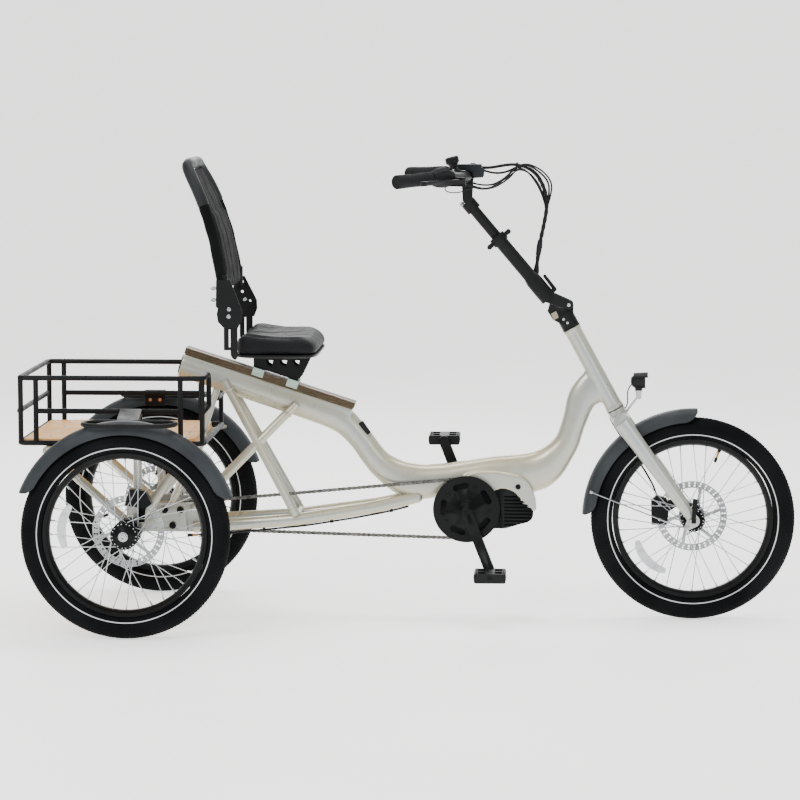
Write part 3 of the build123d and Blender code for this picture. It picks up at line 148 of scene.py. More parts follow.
def grid(points: Array, close_u: bool = False, close_v: bool = True, caps: bool = True) -> Surface:
    """Net of four-cornered faces over a grid of points, with a flat cap on each open end.

    Args:
        points: array of rows, columns and 3.
        close_u: whether the last row joins the first.
        close_v: whether the last column joins the first.
        caps: whether the first and last row are closed by one face each.

    Returns:
        The surface, turned outwards where it is closed.
    """
    rows, cols = points.shape[:2]
    u, v = np.meshgrid(np.arange(rows if close_u else rows - 1),
                       np.arange(cols if close_v else cols - 1), indexing="ij")
    u2 = (u + 1) % rows
    v2 = (v + 1) % cols
    quads = np.stack([u * cols + v, u2 * cols + v, u2 * cols + v2, u * cols + v2], axis=-1).reshape(-1, 4)
    faces = [quads]
    if caps and close_v and not close_u:
        faces.append(np.arange(cols)[None])
        faces.append((rows - 1) * cols + np.arange(cols)[::-1][None])
    return Surface(points.reshape(-1, 3), faces).outward()


def unit(vectors: Array) -> Array:
    """Vectors of length 1 along the last axis."""
    return vectors / np.linalg.norm(vectors, axis=-1, keepdims=True)


def ring_angles(count: int) -> Array:
    """Evenly spaced angles round a full turn, the last one short of the first."""
    return np.linspace(0.0, 2 * math.pi, count, endpoint=False)


def through(points: Array, steps: int = 8) -> Array:
    """Smooth line through points: between two points it is the cubic whose slope at each point
    is half the step from the point before to the point after.

    Args:
        points: rows of the points, of any width.
        steps: rows made for each stretch.

    Returns:
        Rows of the smooth line.
    """
    p = np.asarray(points, float)
    padded = np.concatenate([p[:1], p, p[-1:]])
    a, b, c, d = padded[:-3, None], padded[1:-2, None], padded[2:-1, None], padded[3:, None]
    t = np.linspace(0.0, 1.0, steps, endpoint=False)[None, :, None]
    rows = 0.5 * (2 * b + (c - a) * t + (2 * a - 5 * b + 4 * c - d) * t**2 + (3 * b - a - 3 * c + d) * t**3)
    return np.concatenate([rows.reshape(-1, p.shape[1]), p[-1:]])


def rounded(points: Array, steps: int = 8) -> Array:
    """Smooth line inside a route's corners: a parabola from each run's middle to the next, with
    the corner as its control point.

    Args:
        points: the route's points.
        steps: rows made for each corner.

    Returns:
        Rows of the smooth line, from the first point to the last.
    """
    p = np.asarray(points, float)
    halves = (p[:-1] + p[1:]) / 2
    halves[0] = p[0]
    halves[-1] = p[-1]
    start, corner, end = halves[:-1, None], p[1:-1, None], halves[1:, None]
    t = np.linspace(0.0, 1.0, steps, endpoint=False)[None, :, None]
    rows = start * (1 - t) ** 2 + 2 * corner * t * (1 - t) + end * t**2
    return np.concatenate([rows.reshape(-1, 3), p[-1:]])


def tube(path: Array, across: Array | float, upright: Array | float, sides: int = 16,
         reference: tuple[float, float, float] = (0.0, 1.0, 0.0), square: float = 2.0) -> Surface:
    """Oval carried along a path. Each point is the path plus across times the side direction and
    upright times the direction square to it, each by a power of the cosine and sine.

    Args:
        path: rows of the middle line.
        across: half width along the reference direction.
        upright: half width square to it.
        sides: points round the oval.
        reference: a direction that the path never runs along.
        square: 2 for an ellipse, more for a squarer section.

    Returns:
        The closed tube.
    """
    path = np.asarray(path, float)
    run = unit(np.gradient(path, axis=0))
    up = unit(np.cross(np.broadcast_to(np.array(reference), run.shape), run))
    side = np.cross(run, up)
    angles = ring_angles(sides)
    power = 2 / square
    wide = np.sign(np.cos(angles)) * np.abs(np.cos(angles)) ** power
    tall = np.sign(np.sin(angles)) * np.abs(np.sin(angles)) ** power
    a = np.broadcast_to(across, (len(path),))[:, None, None]
    b = np.broadcast_to(upright, (len(path),))[:, None, None]
    points = path[:, None] + a * wide[None, :, None] * side[:, None] + b * tall[None, :, None] * up[:, None]
    return grid(points)


def turned(profile: Array, start: Array, axis: Array, sides: int = 24, loop: bool = False) -> Surface:
    """Profile turned round an axis: each point is the start plus a distance along the axis plus
    a radius times a direction that goes round it.

    Args:
        profile: rows of distance along the axis and radius.
        start: point on the axis.
        axis: direction of the axis.
        sides: points round the axis.
        loop: whether the profile's ends join, which makes a ring.

    Returns:
        The closed solid.
    """
    profile = np.asarray(profile, float)
    direction = unit(np.asarray(axis, float))
    other = np.array((0.0, 0.0, 1.0)) if abs(direction[2]) < 0.9 else np.array((1.0, 0.0, 0.0))
    first = unit(np.cross(direction, other))
    second = np.cross(direction, first)
    angles = ring_angles(sides)
    spin = np.cos(angles)[:, None] * first + np.sin(angles)[:, None] * second
    points = np.asarray(start, float) + profile[:, None, :1] * direction + profile[:, None, 1:] * spin[None]
    return grid(points, close_u=loop)


def about_y(profile: Array, centre: Array, start: float = 0.0, end: float = 360.0, steps: int = 96) -> Surface:
    """Closed profile carried round an axis along Y: each point is the centre plus its radius in
    the XZ plane at each angle, and its own Y.

    Args:
        profile: rows of radius and Y, or one such row array for each angle.
        centre: point on the axis.
        start: first angle in degrees, from +X towards +Z.
        end: last angle in degrees.
        steps: rows made round the axis.

    Returns:
        The closed solid.
    """
    whole = abs(end - start) >= 360.0
    angles = np.radians(np.linspace(start, end, steps, endpoint=not whole))[:, None]
    profile = np.asarray(profile, float)
    radius = np.broadcast_to(profile[..., 0], (steps, profile.shape[-2]))
    height = np.broadcast_to(profile[..., 1], (steps, profile.shape[-2]))
    points = np.stack([radius * np.cos(angles), height, radius * np.sin(angles)], axis=-1)
    return grid(points + np.asarray(centre, float), close_u=whole)


def prism(outline: Array, shift: tuple[float, float, float]) -> Surface:
    """Flat outline made thick by a shift."""
    outline = np.asarray(outline, float)
    return grid(np.stack([outline, outline + np.array(shift)]))


def side_plate(outline: list[tuple[float, float]], y_low: float, y_high: float) -> Surface:
    """Outline of (x, z) points, thick from one Y to another."""
    flat = np.array([(x, y_low, z) for x, z in outline])
    return prism(flat, (0.0, y_high - y_low, 0.0))


def copies(template: Surface, origins: Array, first: Array, second: Array, third: Array) -> Surface:
    """One small shape set down many times: each copy is its origin plus the template's
    coordinates along its own three directions.

    Args:
        template: the small shape, round the origin.
        origins: one row for each copy.
        first: direction of the template's X for each copy.
        second: direction of its Y.
        third: direction of its Z.

    Returns:
        All copies as one surface.
    """
    count = len(origins)
    axes = np.stack([np.broadcast_to(v, (count, 3)) for v in (first, second, third)], axis=1)
    points = origins[:, None] + np.einsum("pk,ckd->cpd", template.points, axes)
    shifts = (np.arange(count) * len(template.points))[:, None, None]
    faces = [(block[None] + shifts).reshape(-1, block.shape[1]) for block in template.faces]
    return Surface(points.reshape(-1, 3), faces)


def bolt_head(radius: float, height: float, socket: float = 0.45, sides: int = 18) -> Surface:
    """Domed bolt head with a hex socket, standing on the XY plane round the origin.

    Args:
        radius: radius of the head.
        height: height of the head.
        socket: share of the radius that the socket takes.
        sides: points round the head.

    Returns:
        The closed head.
    """
    inner = radius * socket
    profile = [(0.0, radius), (height * 0.55, radius), (height * 0.9, radius * 0.86), (height, radius * 0.7),
               (height, inner), (height * 0.35, inner)]
    return turned(np.array(profile), np.zeros(3), np.array((0.0, 0.0, 1.0)), sides)


def bolts_along_y(places: list[tuple[float, float, float]], outward: float, radius: float, height: float) -> Surface:
    """Bolt heads that point along Y, at each place."""
    direction = np.array((0.0, outward, 0.0))
    return copies(bolt_head(radius, height), np.array(places, float), np.array((1.0, 0.0, 0.0)),
                  np.cross(direction, (1.0, 0.0, 0.0)), direction)


# ---------------------------------------------------------------- finishes
def shade(code: str) -> tuple[float, float, float, float]:
    """Screen colour code as the linear colour that the shader takes."""
    values = np.array([int(code[k:k + 2], 16) for k in (0, 2, 4)]) / 255
    linear = np.where(values <= 0.04045, values / 12.92, ((values + 0.055) / 1.055) ** 2.4)
    return (float(linear[0]), float(linear[1]), float(linear[2]), 1.0)


class Relief(Enum):
    """Kinds of small relief on a finish."""

    NOISE = "soft unevenness"
    STIPPLE = "small dents"
    LEATHER = "creased cells"


class Net:
    """A material's nodes, with the few kinds that the finishes use."""

    def __init__(self, tree: bpy.types.NodeTree) -> None:
        """Keep the tree and its shader."""
        self.tree = tree
        self.shader = tree.nodes["Principled BSDF"]

    def add(self, kind: str, **settings: object) -> bpy.types.Node:
        """A new node with the given settings."""
        node = self.tree.nodes.new(kind)
        for name, value in settings.items():
            setattr(node, name, value)
        return node

    def link(self, source: bpy.types.NodeSocket, target: bpy.types.NodeSocket) -> None:
        """Join an output to an input."""
        self.tree.links.new(source, target)

    def place(self, stretch: tuple[float, float, float], turn: tuple[float, float, float] = (0, 0, 0)
              ) -> bpy.types.NodeSocket:
        """Object coordinates, stretched and turned."""
        coordinates = self.add("ShaderNodeTexCoord")
        mapping = self.add("ShaderNodeMapping")
        mapping.inputs["Scale"].default_value = stretch
        mapping.inputs["Rotation"].default_value = turn
        self.link(coordinates.outputs["Object"], mapping.inputs["Vector"])
        return mapping.outputs["Vector"]

    def noise(self, place: bpy.types.NodeSocket, scale: float, detail: float = 2.0) -> bpy.types.NodeSocket:
        """Noise from 0 to 1, with so many cells per metre."""
        node = self.add("ShaderNodeTexNoise")
        node.inputs["Scale"].default_value = scale
        node.inputs["Detail"].default_value = detail
        self.link(place, node.inputs["Vector"])
        return node.outputs["Fac"]

    def cells(self, place: bpy.types.NodeSocket, scale: float, feature: str) -> bpy.types.NodeSocket:
        """Distance in a field of cells, with so many cells per metre."""
        node = self.add("ShaderNodeTexVoronoi", feature=feature)
        node.inputs["Scale"].default_value = scale
        self.link(place, node.inputs["Vector"])
        return node.outputs["Distance"]

    def spread(self, value: bpy.types.NodeSocket, source: tuple[float, float], target: tuple[float, float]
               ) -> bpy.types.NodeSocket:
        """A value moved from one range to another, and held inside it."""
        node = self.add("ShaderNodeMapRange")
        for name, number in zip(("From Min", "From Max", "To Min", "To Max"), (*source, *target)):
            node.inputs[name].default_value = number
        self.link(value, node.inputs["Value"])
        return node.outputs["Result"]

    def mix(self, share: bpy.types.NodeSocket, first: object, second: object) -> bpy.types.NodeSocket:
        """Two colours mixed by a share. Each colour is a code or a socket."""
        node = self.add("ShaderNodeMix", data_type="RGBA")
        self.link(share, node.inputs["Factor"])
        for socket, colour in ((node.inputs[6], first), (node.inputs[7], second)):
            if isinstance(colour, str):
                socket.default_value = shade(colour)
            else:
                self.link(colour, socket)
        return node.outputs[2]

    def bump(self, height: bpy.types.NodeSocket, distance: float, strength: float = 1.0) -> None:
        """Drive the shader's normal by a height."""
        node = self.add("ShaderNodeBump")
        node.inputs["Strength"].default_value = strength
        node.inputs["Distance"].default_value = distance
        self.link(height, node.inputs["Height"])
        self.link(node.outputs["Normal"], self.shader.inputs["Normal"])


@dataclass(frozen=True)
class Finish:
    """A finish with two colours in patches, uneven gloss and a small relief."""

    name: str
    colour: str
    second: str
    roughness: tuple[float, float] = (0.4, 0.5)
    metallic: float = 0.0
    patches: float = 9.0
    grain: float = 500.0
    height: float = 0.00006
    relief: Relief = Relief.NOISE
    stretch: tuple[float, float, float] = (1.0, 1.0, 1.0)
    turn: tuple[float, float, float] = (0.0, 0.0, 0.0)
    coat: float = 0.0
    sheen: float = 0.0
    clear: float = 0.0
    shine: float = 0.15
    glow: float = 0.0

    def material(self) -> bpy.types.Material:
        """The finish's material, made the first time it is asked for."""
        made = bpy.data.materials.get(self.name)
        if made is not None:
            return made
        made = bpy.data.materials.new(self.name)
        made.use_nodes = True
        net = Net(made.node_tree)
        inputs = net.shader.inputs
        inputs["Metallic"].default_value = self.metallic
        inputs["Coat Weight"].default_value = self.coat
        inputs["Coat Roughness"].default_value = 0.12
        inputs["Sheen Weight"].default_value = self.sheen
        inputs["Sheen Roughness"].default_value = 0.5
        inputs["Transmission Weight"].default_value = self.clear
        inputs["Specular IOR Level"].default_value = self.shine
        if self.glow:
            inputs["Emission Color"].default_value = shade(self.second)
            inputs["Emission Strength"].default_value = self.glow
        place = net.place(self.stretch, self.turn)
        net.link(self.tint(net, place), inputs["Base Color"])
        net.link(net.spread(net.noise(place, self.patches * 4), (0.3, 0.7), self.roughness), inputs["Roughness"])
        net.bump(self.surface(net, place), self.height)
        return made

    def tint(self, net: Net, place: bpy.types.NodeSocket) -> bpy.types.NodeSocket:
        """The colour: the two shades in soft patches."""
        share = net.spread(net.noise(place, self.patches, 4.0), (0.35, 0.65), (0.0, 1.0))
        return net.mix(share, self.colour, self.second)

    def surface(self, net: Net, place: bpy.types.NodeSocket) -> bpy.types.NodeSocket:
        """The relief's height."""
        if self.relief is Relief.STIPPLE:
            return net.spread(net.cells(place, self.grain, "F1"), (0.0, 0.5), (0.0, 1.0))
        if self.relief is Relief.LEATHER:
            creases = net.cells(place, self.grain, "DISTANCE_TO_EDGE")
            return net.spread(creases, (0.0, 0.18), (0.0, 1.0))
        return net.noise(place, self.grain, 3.0)


@dataclass(frozen=True)
class PearlPaint(Finish):
    """Pearl paint: painted shade makes it darker and cooler where the surface faces sideways and warmer where it faces
    up or down, with a slow drift of colour and fine flakes."""

    # Colour of the painted shade on surfaces that face sideways.
    flank_shade: str = "c9cdcf"
    drift: float = 2.6

    def tint(self, net: Net, place: bpy.types.NodeSocket) -> bpy.types.NodeSocket:
        """The colour: painted shade from the surface's own direction, mixed with a slow drift along the vehicle."""
        coordinates = net.add("ShaderNodeTexCoord")
        split = net.add("ShaderNodeSeparateXYZ")
        net.link(coordinates.outputs["Normal"], split.inputs["Vector"])
        shade_by_facing = net.add("ShaderNodeMath", operation="ABSOLUTE")
        net.link(split.outputs["Z"], shade_by_facing.inputs[0])
        sum_node = net.add("ShaderNodeMath", operation="MULTIPLY_ADD")
        net.link(net.noise(place, self.drift, 1.0), sum_node.inputs[0])
        sum_node.inputs[1].default_value = 1.3
        net.link(shade_by_facing.outputs["Value"], sum_node.inputs[2])
        share = net.spread(sum_node.outputs["Value"], (0.5, 1.35), (0.0, 1.0))
        flakes = net.spread(net.noise(place, 2600.0, 1.0), (0.5, 0.8), (0.0, 0.35))
        # Painted shade: the flank colour falls on surfaces that face sideways, the base colour on those facing up or
        # down; the drift noise adds real tone.
        body = net.mix(share, self.flank_shade, self.colour)
        return net.mix(flakes, body, self.second)


@dataclass(frozen=True)
class StripWood(Finish):
    """Glued strips of light wood, each its own shade, with grain along them."""

    strip: float = 0.019
    length: float = 0.34
    dark: str = "b98b52"

    def tint(self, net: Net, place: bpy.types.NodeSocket) -> bpy.types.NodeSocket:
        """The colour of the strips, with fine grain over it."""
        strips = net.add("ShaderNodeTexBrick")
        strips.inputs["Color1"].default_value = shade(self.colour)
        strips.inputs["Color2"].default_value = shade(self.second)
        strips.inputs["Mortar"].default_value = shade(self.dark)
        strips.inputs["Scale"].default_value = 1.0
        strips.inputs["Mortar Size"].default_value = 0.0004
        strips.inputs["Brick Width"].default_value = self.length
        strips.inputs["Row Height"].default_value = self.strip
        net.link(place, strips.inputs["Vector"])
        lines = net.noise(net.place((6.0, 160.0, 160.0)), 3.0, 4.0)
        return net.mix(net.spread(lines, (0.45, 0.75), (0.0, 0.6)), strips.outputs["Color"], self.dark)


@dataclass(frozen=True)
class NetCloth(Finish):
    """Knitted net: rows of small dark holes between lighter threads."""

    def threads(self, net: Net, place: bpy.types.NodeSocket) -> bpy.types.NodeSocket:
        """Height of the threads: 0 in a hole and 1 on a thread."""
        return net.spread(net.cells(place, self.grain, "F1"), (0.25, 0.5), (0.0, 1.0))

    def tint(self, net: Net, place: bpy.types.NodeSocket) -> bpy.types.NodeSocket:
        """The colour: holes in the first shade, threads in the second."""
        return net.mix(self.threads(net, place), self.colour, self.second)

    def surface(self, net: Net, place: bpy.types.NodeSocket) -> bpy.types.NodeSocket:
        """The relief's height."""
        return self.threads(net, place)


# The flank colour of both pearl paints is painted shade on surfaces that face sideways.
IVORY = PearlPaint("ivory_pearl_paint", "b3ab8e", "c9c6b6", roughness=(0.26, 0.38), metallic=0.4,
                   grain=900.0, height=0.00001, coat=0.6, shine=0.5, flank_shade="959b9a")
SILVER_IVORY = PearlPaint("silver_pearl_paint", "aeab9a", "c8c6ba", roughness=(0.25, 0.36), metallic=0.5,
                          grain=900.0, height=0.00001, coat=0.6, shine=0.5, flank_shade="969d9e")
POWDER_BLACK = Finish("black_powder_coat", "090a0b", "101112", roughness=(0.42, 0.58), grain=750.0, height=0.00005)
ALLOY_BLACK = Finish("black_anodised_alloy", "090a0a", "121314", roughness=(0.3, 0.42), metallic=0.3,
                     grain=1500.0, height=0.00001)
BRONZE = Finish("bronze_anodised_rail", "4a3f31", "5f5242", roughness=(0.34, 0.46), metallic=0.7,
                grain=60.0, height=0.00003, stretch=(1.0, 60.0, 60.0), turn=(0.0, 0.314, 0.0))
WOOD = StripWood("bamboo_strips", "e3ad68", "d69d55", roughness=(0.42, 0.6), grain=40.0, height=0.00004, dark="b98444")
FENDER = Finish("grey_fender_plastic", "26292c", "313538", roughness=(0.46, 0.6), relief=Relief.STIPPLE,
                grain=1400.0, height=0.00003)
RUBBER = Finish("moulded_tyre_rubber", "08090a", "121314", roughness=(0.66, 0.84), grain=1100.0,
                height=0.00012, shine=0.05)
LINE_WHITE = Finish("reflective_white_line", "b4b8ba", "cfd2d3", roughness=(0.3, 0.45), grain=2000.0, height=0.00003)
RIM_BLACK = Finish("black_rim", "070808", "101112", roughness=(0.3, 0.42), metallic=0.2, grain=600.0, height=0.00001)
STEEL = Finish("polished_steel", "94979a", "bcbfc1", roughness=(0.16, 0.3), metallic=1.0, grain=900.0, height=0.00001)
ROTOR = Finish("ground_steel_disc", "7e8183", "a2a5a6", roughness=(0.24, 0.42), metallic=1.0, grain=300.0,
               height=0.00002, stretch=(1.0, 8.0, 1.0))
CHAIN_STEEL = Finish("oiled_chain_steel", "3c3c3a", "6e6c67", roughness=(0.28, 0.5), metallic=1.0, patches=160.0)
MOTOR = Finish("black_motor_shell", "070808", "101112", roughness=(0.34, 0.5), metallic=0.2, relief=Relief.STIPPLE,
               grain=1800.0, height=0.00003)
PLASTIC = Finish("black_moulded_plastic", "0a0b0b", "141516", roughness=(0.4, 0.55), relief=Relief.STIPPLE,
                 grain=2200.0, height=0.00003)
GREY = Finish("slate_control_plastic", "14181b", "1d2226", roughness=(0.36, 0.5), relief=Relief.STIPPLE,
              grain=2000.0, height=0.00002)
GRIP = Finish("soft_grip_rubber", "0e0f10", "191b1c", roughness=(0.62, 0.8), relief=Relief.STIPPLE, grain=900.0,
              height=0.0001)
CABLE = Finish("black_cable_jacket", "07080a", "121314", roughness=(0.4, 0.55), grain=1500.0, height=0.00002)
SLIDER = Finish("green_silver_slider", "8da297", "abbdb2", roughness=(0.28, 0.42), metallic=0.7, grain=700.0,
                height=0.00002, stretch=(1.0, 8.0, 8.0), shine=0.5)
VINYL = Finish("black_seat_vinyl", "0c0e0f", "15181a", roughness=(0.5, 0.64), relief=Relief.LEATHER, grain=620.0,
               height=0.00014, shine=0.12)
CLOTH = Finish("black_seat_cloth", "070808", "101111", roughness=(0.78, 0.92), relief=Relief.STIPPLE, grain=1300.0,
               height=0.00016, shine=0.08)
PAD_NET = NetCloth("black_back_net", "030303", "0e0f10", roughness=(0.7, 0.85), grain=420.0, height=0.0005, shine=0.08)
SLEEVE = Finish("grey_padded_sleeve", "18191a", "242628", roughness=(0.4, 0.55), relief=Relief.STIPPLE, grain=1200.0,
                height=0.0001)
BRASS = Finish("brass", "a37f42", "c29a5c", roughness=(0.22, 0.38), metallic=1.0, grain=900.0, height=0.00001)
COPPER = Finish("copper_bolt", "b98262", "d39f7f", roughness=(0.25, 0.4), metallic=1.0, grain=900.0, height=0.00001)
TAG = Finish("beige_hinge_band", "7f7965", "948d78", roughness=(0.4, 0.55), grain=900.0, height=0.00002)
AMBER = Finish("amber_reflector", "b53d0c", "e56f22", roughness=(0.12, 0.22), relief=Relief.STIPPLE, grain=700.0,
               height=0.0003, coat=1.0, shine=0.5)
FROST = Finish("white_spoke_reflector", "c3c8cb", "dfe2e4", roughness=(0.16, 0.28), relief=Relief.STIPPLE,
               grain=520.0, height=0.0004, coat=0.8, clear=0.25, shine=0.5)
LENS = Finish("headlight_lens", "d6dde2", "f4f7f9", roughness=(0.05, 0.12), relief=Relief.STIPPLE, grain=320.0,
              height=0.0006, coat=1.0, clear=0.3, shine=0.5)
SCREEN = Finish("dark_screen_glass", "07090b", "0d1114", roughness=(0.06, 0.12), grain=300.0, height=0.000004,
                coat=0.6, shine=0.5)
FLOOR = Finish("pale_floor", "f3f3f2", "f8f8f7", roughness=(0.55, 0.7), patches=1.5, grain=60.0, height=0.0001,
               glow=1.1)

CLOTH_FRAMES = 20

NODE_FINISHES: dict[str, Finish] = {
    "main_frame": IVORY, "rear_frame": IVORY, "axle_carrier": IVORY, "seat_rail": BRONZE, "deck_board": WOOD,
    "basket": POWDER_BLACK, "side_grips": POWDER_BLACK, "rear_fenders": FENDER, "motor_unit": MOTOR,
    "chain": CHAIN_STEEL, "rear_calipers": ALLOY_BLACK, "battery_pack": PLASTIC, "rear_brake_hose": CABLE,
    "fork": SILVER_IVORY, "front_fender": FENDER, "front_caliper": ALLOY_BLACK, "front_brake_hose": CABLE,
    "stem_base": POWDER_BLACK, "light_bracket": STEEL, "headlight": PLASTIC, "qr_lever": ALLOY_BLACK,
    "handlepost": POWDER_BLACK, "tilt_lever": ALLOY_BLACK, "stem": POWDER_BLACK, "handlebar": ALLOY_BLACK,
    "grips": GRIP, "throttle": GRIP, "control_pods": PLASTIC, "brake_lever_left": ALLOY_BLACK,
    "brake_lever_right": ALLOY_BLACK, "display": GREY, "display_button": PLASTIC, "bell": PLASTIC,
    "cable_loom": CABLE, "crankset": ALLOY_BLACK, "chainring": ALLOY_BLACK, "pedal_right": PLASTIC,
    "pedal_left": PLASTIC, "rear_sprocket": ALLOY_BLACK, "seat_bracket": POWDER_BLACK, "slider_blocks": SLIDER,
    "seat_pan": PLASTIC, "seat_cushion": VINYL, "back_frame": POWDER_BLACK, "back_pad": PAD_NET,
}
for wheel_name in ("front", "rear_left", "rear_right"):
    NODE_FINISHES.update({f"{wheel_name}_tyre": RUBBER, f"{wheel_name}_rim": RIM_BLACK, f"{wheel_name}_spokes": STEEL,
                          f"{wheel_name}_hub": ALLOY_BLACK, f"{wheel_name}_rotor": ROTOR})


# ---------------------------------------------------------------- pieces
def evaluated_mesh(made: bpy.types.Object) -> bpy.types.Mesh:
    """New mesh of a piece as its modifiers leave it."""
    return bpy.data.meshes.new_from_object(made.evaluated_get(bpy.context.evaluated_depsgraph_get()))


def finish_mesh(mesh: bpy.types.Mesh, sharp: float) -> None:
    """Merge double points, and shade smooth but for edges sharper than an angle in degrees."""
    work = bmesh.new()
    work.from_mesh(mesh)
    bmesh.ops.remove_doubles(work, verts=work.verts, dist=2e-6)
    work.to_mesh(mesh)
    work.free()
    mesh.shade_smooth()
    mesh.set_sharp_from_angle(angle=math.radians(sharp))


def round_edges(made: bpy.types.Object, width: float, sharp: float) -> None:
    """Round the edges sharper than an angle, by a width in millimetres, where there is one."""
    if not width:
        return
    rounding = made.modifiers.new("rounded_edges", "BEVEL")
    rounding.width = width * MM
    rounding.segments = 2
    rounding.limit_method = "ANGLE"
    rounding.angle_limit = math.radians(sharp)


def add_piece(name: str, surfaces: list[Surface], finish: Finish, body: str | None,
              replaces: tuple[str, ...] = (), sharp: float = 38.0, bevel: float = 0.0) -> bpy.types.Object:
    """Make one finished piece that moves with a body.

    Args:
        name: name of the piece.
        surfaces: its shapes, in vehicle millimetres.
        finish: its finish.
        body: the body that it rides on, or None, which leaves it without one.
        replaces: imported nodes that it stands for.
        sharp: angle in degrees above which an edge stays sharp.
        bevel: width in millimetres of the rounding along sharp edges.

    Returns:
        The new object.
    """
    whole = join(surfaces)
    mesh = bpy.data.meshes.new(name)
    rows: list[list[int]] = []
    for block in whole.faces:
        rows.extend(block.tolist())
    mesh.from_pydata(to_frame(whole.points).tolist(), [], rows)
    finish_mesh(mesh, sharp)
    made = bpy.data.objects.new(name, mesh)
    bpy.context.scene.collection.objects.link(made)
    mesh.materials.append(finish.material())
    round_edges(made, bevel, sharp)
    if body is not None:
        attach(made, body)
    if replaces:
        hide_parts(*replaces)
    log.info("%s: %d points, %s", name, len(mesh.vertices), finish.name)
    return made


def smooth_copy(node: str, body: str, finish: Finish, sharp: float = 32.0, bevel: float = 0.0
                ) -> bpy.types.Object:
    """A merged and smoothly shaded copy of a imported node, which stands for it.

    Args:
        node: name of the node.
        body: the body that it rides on.
        finish: its finish.
        sharp: angle in degrees above which an edge stays sharp.
        bevel: width in millimetres of the rounding along sharp edges.

    Returns:
        The new object.
    """
    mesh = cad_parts[node].data.copy()
    mesh.materials.clear()
    finish_mesh(mesh, sharp)
    made = bpy.data.objects.new(f"{node}_skin", mesh)
    bpy.context.scene.collection.objects.link(made)
    mesh.materials.append(finish.material())
    round_edges(made, bevel, sharp)
    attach(made, body)
    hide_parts(node)
    log.info("%s: smooth copy, %s", node, finish.name)
    return made


def dress_nodes() -> None:
    """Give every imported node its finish."""
    for name, finish in NODE_FINISHES.items():
        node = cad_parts[name]
        node.data.materials.clear()
        node.data.materials.append(finish.material())


